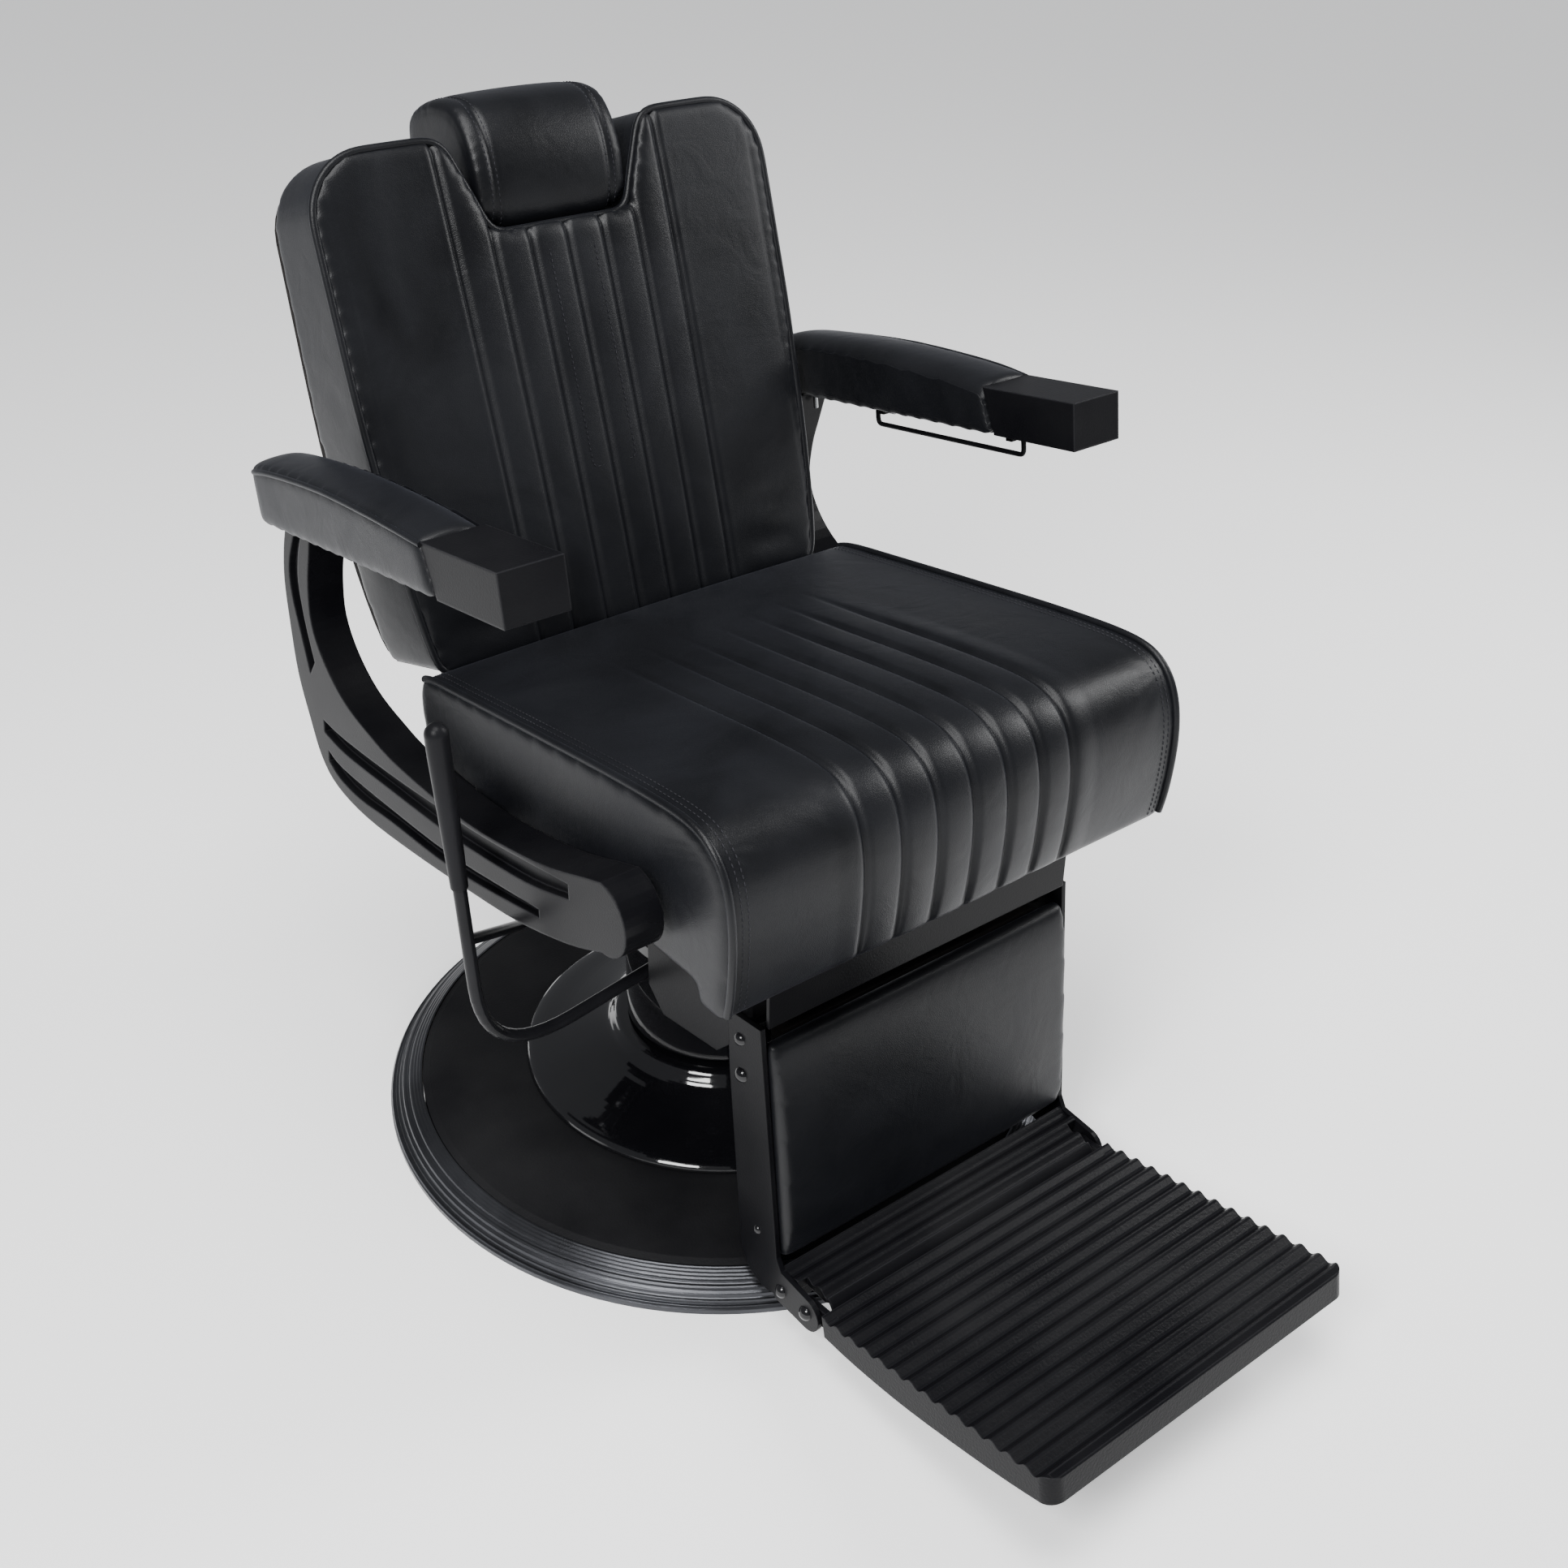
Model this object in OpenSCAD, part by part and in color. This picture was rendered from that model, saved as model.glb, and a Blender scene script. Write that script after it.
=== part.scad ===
// Hydraulic barber chair, seat at its lowest, back upright, footplate down.
// Millimetres. The floor is z = 0, +Z is up, the chair faces -Y, and the base
// centre is the origin. The sitter's right hand is on the -X side.

/* [Base] */
// Diameter of the round base over its trim ring
base_d = 710; // [660:10:760]
// Width of the grooved trim ring
ring_w = 34; // [26:1:44]
// Diameter of the bell cover at its rim
bell_d = 422; // [380:2:460]
// Diameter of the bell cover's shoulder
shoulder_d = 236; // [224:2:250]
// Diameter of the sleeve that hides the pump
sleeve_d = 206; // [190:2:210]

/* [Pump] */
// How far the pump lifts the seat
lift_travel = 145; // [100:5:145]
// Diameter of the ram
ram_d = 64; // [54:2:70]
// Outside diameter of the pump cylinder
cylinder_d = 116; // [104:2:130]
// Height of the lever's cross shaft above the floor
lever_z = 286; // [280:1:292]
// Diameter of the lever rods
rod_d = 12; // [10:1:14]

/* [Seat] */
// Height of the seat board's underside at the lowest position
seat_h = 396; // [380:2:430]
// Width of the seat cushion
seat_w = 504; // [470:2:508]
// Distance from the base centre to the front of the cushion
seat_front = 342; // [320:2:370]
// Height of the cushion above its board at the front
seat_t = 148; // [125:1:165]

/* [Back] */
// Width of the backrest
back_w = 482; // [440:2:500]
// Length of the backrest up its slope
back_len = 462; // [420:2:520]
// Lean of the upright backrest from vertical
back_lean = 17; // [12:0.5:22]
// Thickness of the backrest at its top
back_top_t = 101; // [90:1:115]
// Thickness of the backrest at its bottom
back_low_t = 128; // [116:1:140]
// Width of the notch for the headrest
notch_w = 178; // [160:2:190]
// Depth of the notch for the headrest
notch_d = 88; // [76:1:96]
// How far the headrest can be raised
head_travel = 90; // [60:5:110]

/* [Arms] */
// Overall width over the two arm frames
arm_span = 660; // [650:2:700]
// Width of an armrest from side to side
arm_t = 66; // [56:1:70]
// Thickness of the arm frame under each armrest
frame_t = 36; // [32:1:44]
// Length of the padded part of an armrest
pad_len = 334; // [300:2:350]
// Length of the metal cap in front of an arm pad
cap_len = 112; // [90:2:130]

/* [Leg rest] */
// Width between the outer faces of the leg rest's side plates
leg_w = 362; // [340:2:364]
// Length of the calf pad
calf_len = 232; // [210:2:236]
// Length of the hinged footplate
foot_len = 278; // [240:2:300]
// Slope of the footplate, front edge up
foot_tilt = 11.5; // [8:0.5:15]
// Number of ribs across the footplate
foot_ribs = 14; // [10:1:18]

/* [Fits] */
// Radial clearance of running fits
fit = 0.05; // [0.03:0.01:0.09]
// Clearance between soft parts and their neighbours on other bodies
soft_gap = 4; // [2:0.5:6]

/* [Hidden] */
$fn = 64;
back_hinge = [168, seat_h + 20];       // recline axis, as [y, z]
leg_hinge = [-265, seat_h - 100];      // leg rest axis, as [y, z]
crank = 38;                            // length of the linkage cranks
cheek_t = 6;                           // the underframe's side cheeks
plate_t = 5;                           // the leg rest's side plates outside them
cheek_x = leg_w/2 - plate_t - 2 - cheek_t;   // inner face of the cheeks
link_x = cheek_x - 10;                 // inner face of the link bars
back_n = 50;                           // backrest face ahead of its axis
back_u = 60;                           // backrest bottom edge above its axis
flip_hinge = [-361, 47];               // footplate axis, as [y, z]
lever_x = 30;                          // lever axis, sideways from the centre
yoke_y = 95;                           // lever rods either side of the pump head
head_bot = 206;                        // underside of the pump head
plate_z = 312;                         // underside of the mount plate
ring_r = base_d / 2 - ring_w;
bell_top = 84;
guide_z = 176;                         // bottom of the ram's guide bush
arm_x = arm_span / 2;
arm_slope = 8.5;
arm_org = [222, 631 - 396 + seat_h];   // rear end of an armrest's underside
side_x = leg_w / 2;
crank_v = [-2, -crank];                // from each axis down to its crank pin
lock_rear = back_hinge + crank_v;
lock_front = [-118, seat_h - 60];
link_front = leg_hinge + crank_v;

// ---- helpers ---------------------------------------------------------------

// A closed outline through control points, with n points between each pair.
function spline(a, b, c, d, t) =
  0.5 * (2*b + (c - a)*t + (2*a - 5*b + 4*c - d)*t*t + (3*b - a - 3*c + d)*t*t*t);
function smooth(p, n) =
  [for (i = [0:len(p) - 1]) for (k = [0:n - 1])
    spline(p[(i + len(p) - 1) % len(p)], p[i], p[(i + 1) % len(p)],
           p[(i + 2) % len(p)], k / n)];
// The same outline left open at its ends.
function smooth_open(p, n) =
  [for (i = [0:len(p) - 2]) for (k = [0:n])
    if (k < n || i == len(p) - 2)
      spline(p[max(i - 1, 0)], p[i], p[i + 1], p[min(i + 2, len(p) - 1)], k / n)];
// An arc of points about a centre.
function arc(c, r, a0, a1, n) =
  [for (k = [0:n]) c + r * [cos(a0 + (a1 - a0)*k/n), sin(a0 + (a1 - a0)*k/n)]];

// A side-view outline in (y, z), given thickness along X from x0 to x1.
module side(x0, x1) {
  translate([x0, 0, 0]) rotate([90, 0, 90]) linear_extrude(x1 - x0) children();
}
// A rod along X at [y, z].
module rod_x(p, r, x0, x1) {
  translate([x0, p[0], p[1]]) rotate([0, 90, 0]) cylinder(r = r, h = x1 - x0);
}
module tube_x(p, ro, ri, x0, x1) {
  difference() {
    rod_x(p, ro, x0, x1);
    rod_x(p, ri, x0 - 1, x1 + 1);
  }
}
// A path through points p, curved within R of each inner point.
function unit(v) = v / norm(v);
function curved(p, R, n) = concat([p[0]],
  [for (i = [1:1:len(p) - 2]) let (
     a = p[i] - R*unit(p[i] - p[i - 1]), b = p[i] + R*unit(p[i + 1] - p[i]))
     for (k = [0:n]) let (t = k/n) (1 - t)*(1 - t)*a + 2*t*(1 - t)*p[i] + t*t*b],
  [p[len(p) - 1]]);
// A round rod along a path; across is a direction the path never follows.
module bent_rod(path, r, across, sides = 20) {
  n = len(path);
  pts = [for (i = [0:n - 1]) let (
           t = unit(path[min(i + 1, n - 1)] - path[max(i - 1, 0)]),
           u = unit(across - (across*t)*t), v = cross(t, u))
           for (k = [0:sides - 1])
             path[i] + r*cos(360*k/sides)*u + r*sin(360*k/sides)*v];
  polyhedron(pts, concat(
    [[for (k = [0:sides - 1]) k]],
    [for (i = [0:n - 2]) for (k = [0:sides - 1]) let (q = (k + 1) % sides)
       each [[i*sides + k, (i + 1)*sides + q, i*sides + q],
             [i*sides + k, (i + 1)*sides + k, (i + 1)*sides + q]]],
    [[for (k = [0:sides - 1]) n*sides - 1 - k]]), convexity = 6);
}
module straight(a, b, r) {
  d = b - a;
  translate(a) rotate([0, acos(d[2] / norm(d)), atan2(d[1], d[0])])
    cylinder(r = r, h = norm(d));
}
module both_sides() {
  children();
  mirror([1, 0, 0]) children();
}
module ring(ro, ri, z0, z1) {
  translate([0, 0, z0]) difference() {
    cylinder(r = ro, h = z1 - z0);
    translate([0, 0, -1]) cylinder(r = ri, h = z1 - z0 + 2);
  }
}
// Rounded rectangle centred on x, standing on z = 0 of the outline.
module round_rect(w, h, r) {
  union() {
    translate([-w/2 + r, 0]) square([w - 2*r, h]);
    translate([-w/2, r]) square([w, h - 2*r]);
    for (x = [-w/2 + r, w/2 - r]) for (z = [r, h - r]) translate([x, z]) circle(r);
  }
}
// Domed bolt head standing on z = 0.
module dome_head(r) {
  intersection() {
    translate([0, 0, -r*0.35]) sphere(r*1.06);
    translate([-2*r, -2*r, 0]) cube(4*r);
  }
}

// ---- base ------------------------------------------------------------------

module base_disc() {
  color("dimgray") rotate_extrude($fn = 128)
    polygon([[58, 8], [ring_r - 24, 8], [ring_r - 20, 4], [ring_r - 1, 4],
             [ring_r - 1, 27], [ring_r - 8, 29], [bell_d/2, 36], [58, 38],
             [58, 31], [bell_d/2, 28], [ring_r - 26, 21], [ring_r - 26, 14],
             [58, 14]]);
}

// Trim ring round the disc, with concentric grooves down its slope.
module base_trim_ring() {
  color("gray") rotate_extrude($fn = 128)
    polygon([[ring_r, 0], [base_d/2, 0], [base_d/2, 5], [base_d/2 - 2, 8],
             [base_d/2 - 5, 8], [base_d/2 - 6, 11], [base_d/2 - 9, 12],
             [base_d/2 - 10, 15], [base_d/2 - 13, 16.5], [base_d/2 - 14, 19],
             [ring_r + 14, 21], [ring_r + 13, 23], [ring_r + 2, 28],
             [ring_r, 28]]);
}

module base_foot_ring() {
  color("black") ring(ring_r - 28, ring_r - 52, 0, 8);
}

module bell_cover() {
  r0 = bell_d / 2;
  r1 = shoulder_d / 2;
  outer = smooth_open([[r0, 38], [r0 - 3, 44], [r0 - 14, 48], [r0 - 40, 53],
                       [r1 + 26, 61], [r1 + 8, 69], [r1 + 1, 76],
                       [r1 - 5, bell_top - 1.5], [r1 - 16, bell_top]], 4);
  color("black") rotate_extrude($fn = 128)
    polygon(concat(outer, [[cylinder_d/2 + 3, bell_top],
                           [cylinder_d/2 + 3, bell_top - 3],
                           [r1 - 14, bell_top - 3], [r1 - 3, 74], [r1 + 6, 65],
                           [r0 - 40, 49], [r0 - 8, 43], [r0 - 8, 38]]));
}

module pump_cylinder() {
  color("black") difference() {
    union() {
      translate([0, 0, 8]) cylinder(d = cylinder_d, h = 192);
      translate([0, 0, 38]) cylinder(d = 168, h = 10);
    }
    translate([0, 0, 14]) cylinder(r = ram_d/2 + 4, h = guide_z - 13);
    translate([0, 0, guide_z]) cylinder(r = ram_d/2 + 10, h = 40);
    for (a = [45:90:315]) rotate(a) translate([72, 0, 37]) cylinder(r = 4.5, h = 12);
  }
}

module cylinder_bolts() {
  color("silver") for (a = [45:90:315]) rotate(a) translate([72, 0, 0]) {
    translate([0, 0, 38.5]) cylinder(r = 4.2, h = 9.5);
    translate([0, 0, 48]) cylinder(r = 8, h = 6, $fn = 6);
  }
}

module ram_guide_bush() {
  color("goldenrod") ring(ram_d/2 + 10, ram_d/2 + fit, guide_z, guide_z + 17);
}

module ram_wiper_seal() {
  color("black") ring(ram_d/2 + 10, ram_d/2 + fit, guide_z + 17, guide_z + 24);
}

// Ram tube with a spigot on top that the pump head turns on.
module ram() {
  color("silver") difference() {
    union() {
      translate([0, 0, 16]) cylinder(d = ram_d, h = head_bot - 4 - 16);
      translate([0, 0, head_bot - 5]) cylinder(r = 22, h = 48.5);
    }
    translate([0, 0, 15]) cylinder(r = 12, h = 125);
    translate([0, 0, 130]) cylinder(r = 7 + fit, h = 130);
    translate([0, 0, 226]) cylinder(r = 14, h = 40);
    ring(ram_d/2 + 1, ram_d/2 - 3, 20, 27);
  }
}

module ram_piston_seal() {
  color("black") ring(ram_d/2 + 4 - fit, ram_d/2 - 3, 20.2, 26.8);
}

module swivel_thrust_washer() {
  color("goldenrod") ring(ram_d/2 + 6, 22 + fit, head_bot - 4, head_bot);
}

module swivel_bush() {
  color("goldenrod") ring(27, 22 + fit, head_bot, head_bot + 44);
}

// ---- pump head, lever and plunger --------------------------------------------

module pump_head() {
  color("black") difference() {
    union() {
      translate([0, 0, head_bot]) cylinder(r = 58, h = plate_z - head_bot - 10);
      translate([-75, -62, plate_z - 12]) cube([150, 124, 12]);
      translate([lever_x, 0, lever_z]) rotate([90, 0, 0])
        cylinder(r = 20, h = 124, center = true);
    }
    translate([0, 0, head_bot - 1]) cylinder(r = 27, h = 45);
    translate([0, 0, head_bot]) cylinder(r = 16, h = 60);
    translate([-16, -13, head_bot + 44]) cube([66, 26, plate_z - head_bot]);
    translate([lever_x, 0, lever_z]) rotate([90, 0, 0])
      cylinder(r = 10 + fit, h = 130, center = true);
    for (x = [-62, 62]) for (y = [-48, 48])
      translate([x, y, plate_z - 13]) cylinder(r = 4.6, h = 14);
  }
}

module mount_plate() {
  color("black") difference() {
    union() {
      translate([-cheek_x + 18, -105, plate_z]) cube([2*cheek_x - 36, 210, 8]);
      translate([-cheek_x, 16, plate_z]) cube([2*cheek_x, 89, 8]);
    }
    for (x = [-62, 62]) for (y = [-48, 48])
      translate([x, y, plate_z - 1]) cylinder(r = 4.6, h = 10);
  }
}

module mount_bolts() {
  color("silver") for (x = [-62, 62]) for (y = [-48, 48]) translate([x, y, 0]) {
    translate([0, 0, plate_z - 12]) cylinder(r = 4.2, h = 20);
    translate([0, 0, plate_z + 8]) cylinder(r = 7.5, h = 5, $fn = 6);
  }
}

// Open-bottomed sleeve under the pump head that hides the pump.
module column_sleeve() {
  color("black") rotate_extrude()
    polygon([[50, head_bot], [sleeve_d/2 - 12, head_bot], [sleeve_d/2 - 3, head_bot - 3],
             [sleeve_d/2, head_bot - 12], [sleeve_d/2, bell_top + 5],
             [sleeve_d/2 - 3, bell_top + 5], [sleeve_d/2 - 3, head_bot - 12],
             [sleeve_d/2 - 12, head_bot - 4], [50, head_bot - 4]]);
}

module pump_plunger() {
  color("silver") union() {
    translate([0, 0, 152]) cylinder(r = 7, h = lever_z - 21 - 152);
    translate([0, 0, lever_z - 21]) sphere(7);
    translate([0, 0, 256]) cylinder(r = 12, h = 5);
  }
}

module plunger_spring() {
  color("silver") for (k = [0:4])
    translate([0, 0, 229 + 6*k]) rotate_extrude() translate([10.6, 0]) circle(1.3);
}

// Cross shaft with the cam finger that presses the plunger.
module lever_shaft() {
  color("silver") union() {
    translate([lever_x, 0, lever_z]) rotate([90, 0, 0])
      cylinder(r = 10, h = 2*yoke_y + 24, center = true);
    translate([0, 9, 0]) rotate([90, 0, 0]) linear_extrude(18)
      polygon([[lever_x - 42, lever_z - 13.4], [lever_x + 4, lever_z - 13.4],
               [lever_x + 12, lever_z], [lever_x + 4, lever_z + 13],
               [lever_x - 8, lever_z + 13], [lever_x - 42, lever_z - 4]]);
  }
}

grip_top = [-347, -yoke_y, 500];
grip_low = [-333.7, -yoke_y, lever_z - 56];
module pump_lever() {
  color("black") difference() {
    union() {
      bent_rod(curved([grip_top, grip_low, [lever_x, -yoke_y, lever_z]], 92, 12),
               rod_d/2, [0, 1, 0]);
      bent_rod(curved([[-340.5, -yoke_y, lever_z + 86], [-229, -2, lever_z + 2],
                       [-150, 78, lever_z - 32], [-96, yoke_y, lever_z - 20],
                       [lever_x, yoke_y, lever_z]], 24, 5), rod_d*0.43, [0, 0, 1]);
      for (s = [-1, 1]) translate([lever_x, s*yoke_y, lever_z]) rotate([90, 0, 0])
        cylinder(r = 18, h = 20, center = true);
    }
    for (s = [-1, 1]) translate([lever_x, s*yoke_y, lever_z]) rotate([90, 0, 0])
      cylinder(r = 10, h = 40, center = true);
  }
}

// Tapered grip with a ball end, pushed on the upright end of the lever.
grip_r = rod_d/2 + 4;                  // the grip at its tip
module lever_grip() {
  u = unit(grip_top - grip_low);
  color("black") difference() {
    translate(grip_top - 72*u) rotate([0, atan2(u[0], u[2]), 0]) union() {
      cylinder(r1 = grip_r - 2.5, r2 = grip_r, h = 130);
      translate([0, 0, 130]) cylinder(r = grip_r, h = 18);
      translate([0, 0, 148]) sphere(grip_r);
    }
    straight(grip_top - 90*u, grip_top, rod_d/2);
  }
}

// ---- underframe ----------------------------------------------------------------

module cheek_outline() {
  zt = seat_h - 8;
  difference() {
    union() {
      polygon([[-292, zt], [-292, leg_hinge[1] + 64], [-266, leg_hinge[1] + 38],
               [-266, leg_hinge[1]], [-222, leg_hinge[1] - 44],
               [-140, leg_hinge[1] - 56], [-118, leg_hinge[1] - 34],
               [-118, plate_z - 8], [118, plate_z - 8], [150, seat_h - 60],
               [190, back_hinge[1] - 14], [188, back_hinge[1]], [148, back_hinge[1]],
               [138, zt]]);
      translate(leg_hinge) circle(19);
      translate(back_hinge) circle(24);
    }
    translate(leg_hinge) circle(6);
    translate(back_hinge) circle(15);
  }
}

// Two side cheeks joined by cross members; the front one hides the mechanism.
module underframe() {
  zt = seat_h - 8;
  color("black") union() {
    side(cheek_x, cheek_x + cheek_t) cheek_outline();
    side(-cheek_x - cheek_t, -cheek_x) cheek_outline();
    translate([-cheek_x - cheek_t, -296, leg_hinge[1] + 27])
      cube([2*cheek_x + 2*cheek_t, 4, zt - leg_hinge[1] - 27]);
    translate([-cheek_x, -262, leg_hinge[1] + 12])
      cube([2*cheek_x, 4, zt - leg_hinge[1] - 12]);
    translate([-cheek_x, 110, plate_z - 8]) cube([2*cheek_x, 6, 34]);
    for (x = [-24, 16]) difference() {
      translate([x, lock_front[0] - 22, lock_front[1] - 14])
        cube([8, 44, zt - lock_front[1] + 14]);
      rod_x(lock_front, 6, x - 1, x + 9);
    }
    translate([-cheek_x, lock_front[0] - 22, zt - 6]) cube([2*cheek_x, 44, 6]);
  }
}

arm_in = arm_x - arm_t;
bracket_y = [-85, 50];                 // centres of the two arm brackets
bolt_z = seat_h + 16;                  // and the height of their bolts
module arm_brackets() {
  zt = seat_h - 8;
  color("black") for (y = [bracket_y[0] - 25, bracket_y[1] - 25]) difference() {
    union() {
      translate([-arm_in, y, zt]) cube([2*arm_in, 50, 8]);
      for (x = [-arm_in, arm_in - 6]) translate([x, y, zt]) cube([6, 50, 46]);
    }
    for (s = [-1, 1])
      rod_x([y + 25, bolt_z], 5.2, s*arm_in - 8, s*arm_in + 8);
  }
}

module arm_bracket_bolts() {
  color("silver") for (y = bracket_y) both_sides() {
    rod_x([y, bolt_z], 5, arm_in - 6, arm_in + 24);
    rod_x([y, bolt_z], 8, arm_in - 8.5, arm_in - 6);
  }
}

// ---- arm frames -----------------------------------------------------------------

// Heights in the arm frame's outline are measured from the seat board.
function up(p) = [for (q = p) [q[0], q[1] + seat_h - 396]];

module arm_outline() {
  polygon(up(concat(
    smooth_open([[258, 660], [268, 618], [281, 586], [290, 550], [291, 505],
                 [288, 451], [274, 407], [258, 370], [229, 350], [170, 344],
                 [82, 352], [-16, 366], [-108, 382], [-191, 406], [-242, 428]], 4),
    arc([-243, 462], 34, -90, -268, 14),
    smooth_open([[-221, 488], [-147, 463], [-30, 442], [87, 440], [146, 449],
                 [191, 463], [224, 489], [241, 522], [238, 562], [226, 600],
                 [206, 660]], 4))));
}
// Recessed channels in the outer face: one up the post, two along the arm.
module arm_channels() {
  polygon(up(concat(
    smooth_open([[239, 612], [250, 590], [258, 560], [255, 520], [245, 480]], 4),
    smooth_open([[259, 462], [268, 500], [277, 540], [274, 572], [256, 606]], 4))));
  polygon(up(concat(
    smooth_open([[242, 419], [200, 417], [105, 423], [21, 432], [-67, 443],
                 [-196, 468]], 4),
    smooth_open([[-196, 453], [-129, 433], [-34, 417], [21, 411], [109, 405],
                 [200, 400], [244, 405]], 4))));
  polygon(up(concat(
    smooth_open([[240, 386], [210, 379], [116, 382], [-3, 391], [-147, 416]], 4),
    smooth_open([[-147, 407], [-1, 377], [116, 367], [179, 360], [221, 363],
                 [242, 373]], 4))));
}

stud_y = [-16, 8];                      // studs from each arm frame up into its board
stud_x = arm_t/2 - arm_t + frame_t/2;   // over the middle of the frame
screw_y = [150, 250];
module arm_frame() {
  difference() {
    side(arm_in, arm_in + frame_t) arm_outline();
    side(arm_in + frame_t - 8, arm_in + frame_t + 1) arm_channels();
    for (y = bracket_y) rod_x([y, bolt_z], 5, arm_in - 1, arm_in + 25);
    on_arm() translate([-50, -80, 0]) cube([100, 280, 80]);
    on_arm() for (y = stud_y) translate([stud_x, y, -16]) cylinder(r = 2.5, h = 17);
  }
}
module arm_frame_left() { color("black") arm_frame(); }
module arm_frame_right() { color("black") mirror([1, 0, 0]) arm_frame(); }

// Armrest frame of reference: y runs forward along the underside, z is square
// to it, and x = 0 is the arm's middle.
module on_arm() {
  translate([arm_x - arm_t/2, arm_org[0], arm_org[1]])
    rotate([-arm_slope, 0, 0]) mirror([0, 1, 0]) children();
}
pad_w = arm_t - 2;
joint_y = pad_len - 48;                // where pad and cap meet
module arm_board() {
  on_arm() difference() {
    translate([-pad_w/2 + 8, -34, 0]) cube([pad_w - 16, joint_y + 34, 9]);
    for (y = screw_y) translate([0, y, -1]) cylinder(r = 2.5, h = 12);
    for (y = stud_y) translate([stud_x, y, -1]) cylinder(r = 2.5, h = 12);
  }
}
module arm_board_left() { color("black") arm_board(); }
module arm_board_right() { color("black") mirror([1, 0, 0]) arm_board(); }

// Padded top: a rounded rear end, an arched top and a slanted front joint.
module arm_pad() {
  on_arm() difference() {
    intersection() {
      translate([-pad_w/2 - 1, 0, 0]) rotate([90, 0, 90]) linear_extrude(pad_w + 2)
        polygon(concat(
          [[joint_y + 8, 0], [joint_y - 6, 44.5]],
          smooth_open([[joint_y - 6, 44.5], [210, 52], [120, 57], [40, 57],
                       [-28, 53], [-50, 42], [-54, 24], [-46, 6], [-34, 0]], 4)));
      translate([0, 0, -1]) linear_extrude(80) union() {
        translate([-pad_w/2, -12]) square([pad_w, joint_y + 30]);
        translate([0, -12]) circle(pad_w/2);
        translate([0, -54 + pad_w/2]) circle(pad_w/2);
      }
    }
    translate([-pad_w/2 + 8, -34, -1]) cube([pad_w - 16, joint_y + 60, 10]);
  }
}
module arm_pad_left() { color("black") arm_pad(); }
module arm_pad_right() { color("black") mirror([1, 0, 0]) arm_pad(); }

// Hollow metal cap that closes the front of the armrest.
module arm_cap() {
  on_arm() difference() {
    translate([-29, 0, 0]) rotate([90, 0, 90]) linear_extrude(58)
      polygon([[joint_y + 8.3, 0], [joint_y - 5.7, 44.5],
               [joint_y + cap_len, 44.5], [joint_y + cap_len, 0]]);
    translate([-26, joint_y + 12, -1]) cube([52, cap_len - 15, 42]);
  }
}
module arm_cap_left() { color("black") arm_cap(); }
module arm_cap_right() { color("black") mirror([1, 0, 0]) arm_cap(); }

module arm_board_screws() {
  color("silver") both_sides() on_arm() {
    for (y = stud_y) translate([stud_x, y, -16]) cylinder(r = 2.5, h = 25);
    for (y = screw_y) translate([0, y, 0]) cylinder(r = 2.5, h = 9);
    for (y = screw_y) translate([0, y, -2.2]) cylinder(r = 5, h = 2.2);
  }
}

// ---- recline release bail, under the sitter's left armrest ---------------------

bail_y = [92, 304];                    // where the two legs hang, along the arm
bail_h = 24;                           // drop of the bail below its pivot
pivot_h = -6;
module bail_clips() {
  color("black") on_arm() for (k = [0, 1]) difference() {
    y = bail_y[k] + (k == 0 ? 12 : -14);
    union() {
      translate([-6, y - 4, pivot_h - 5.5]) cube([12, 8, -pivot_h + 5.5]);
      translate([-6, y - 14, -1.5]) cube([12, 18, 1.5]);
    }
    translate([0, y - 5, pivot_h]) rotate([-90, 0, 0]) cylinder(r = 2.5 + fit, h = 10);
  }
}
module recline_bail() {
  a = bail_y[0];
  b = bail_y[1];
  color("black") on_arm()
    bent_rod(curved([[0, a + 30, pivot_h], [0, a, pivot_h], [0, a, -bail_h],
                     [0, b, -bail_h], [0, b, pivot_h], [0, b - 20, pivot_h]], 6, 5),
             2.5, [1, 0, 0], 16);
}
module bail_spring() {
  color("silver") on_arm() for (k = [0:3])
    translate([0, bail_y[0] + 19.5 + 2.4*k, pivot_h]) rotate([90, 0, 0])
      rotate_extrude() translate([4.0, 0]) circle(0.8);
}

// ---- seat ---------------------------------------------------------------------

module seat_board() {
  color("burlywood") translate([-seat_w/2 + 14, -seat_front + 44, seat_h])
    cube([seat_w - 28, seat_front - 44 + 108, 14]);
}

// Cushion: crowned towards the front, with a deep waterfall front edge.
module seat_cushion() {
  f = seat_front;
  t = seat_h + seat_t;
  color("black") translate([-seat_w/2, 0, 0]) rotate([90, 0, 90]) linear_extrude(seat_w)
    polygon(concat(
      [[128, seat_h + 14.3]],
      smooth_open([[130, seat_h + 70], [128, t - 52], [112, t - 43], [40, t - 32],
                   [-90, t - 13], [-200, t + 2], [-f + 62, t + 9], [-f + 28, t + 2],
                   [-f + 8, t - 22], [-f, t - 62], [-f + 2, seat_h + 30],
                   [-f + 8, seat_h - 5]], 4),
      [[-f + 40, seat_h - 5], [-f + 40, seat_h + 14.3]]));
}

// ---- backrest ------------------------------------------------------------------

// Backrest frame of reference: origin on the recline axis, z up the slope,
// y to the rear, square to the face.
module on_back() {
  translate([0, back_hinge[0], back_hinge[1]]) rotate([-back_lean, 0, 0]) children();
}
module at_back(p) { on_back() translate([0, p[0], p[1]]) children(); }

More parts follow.
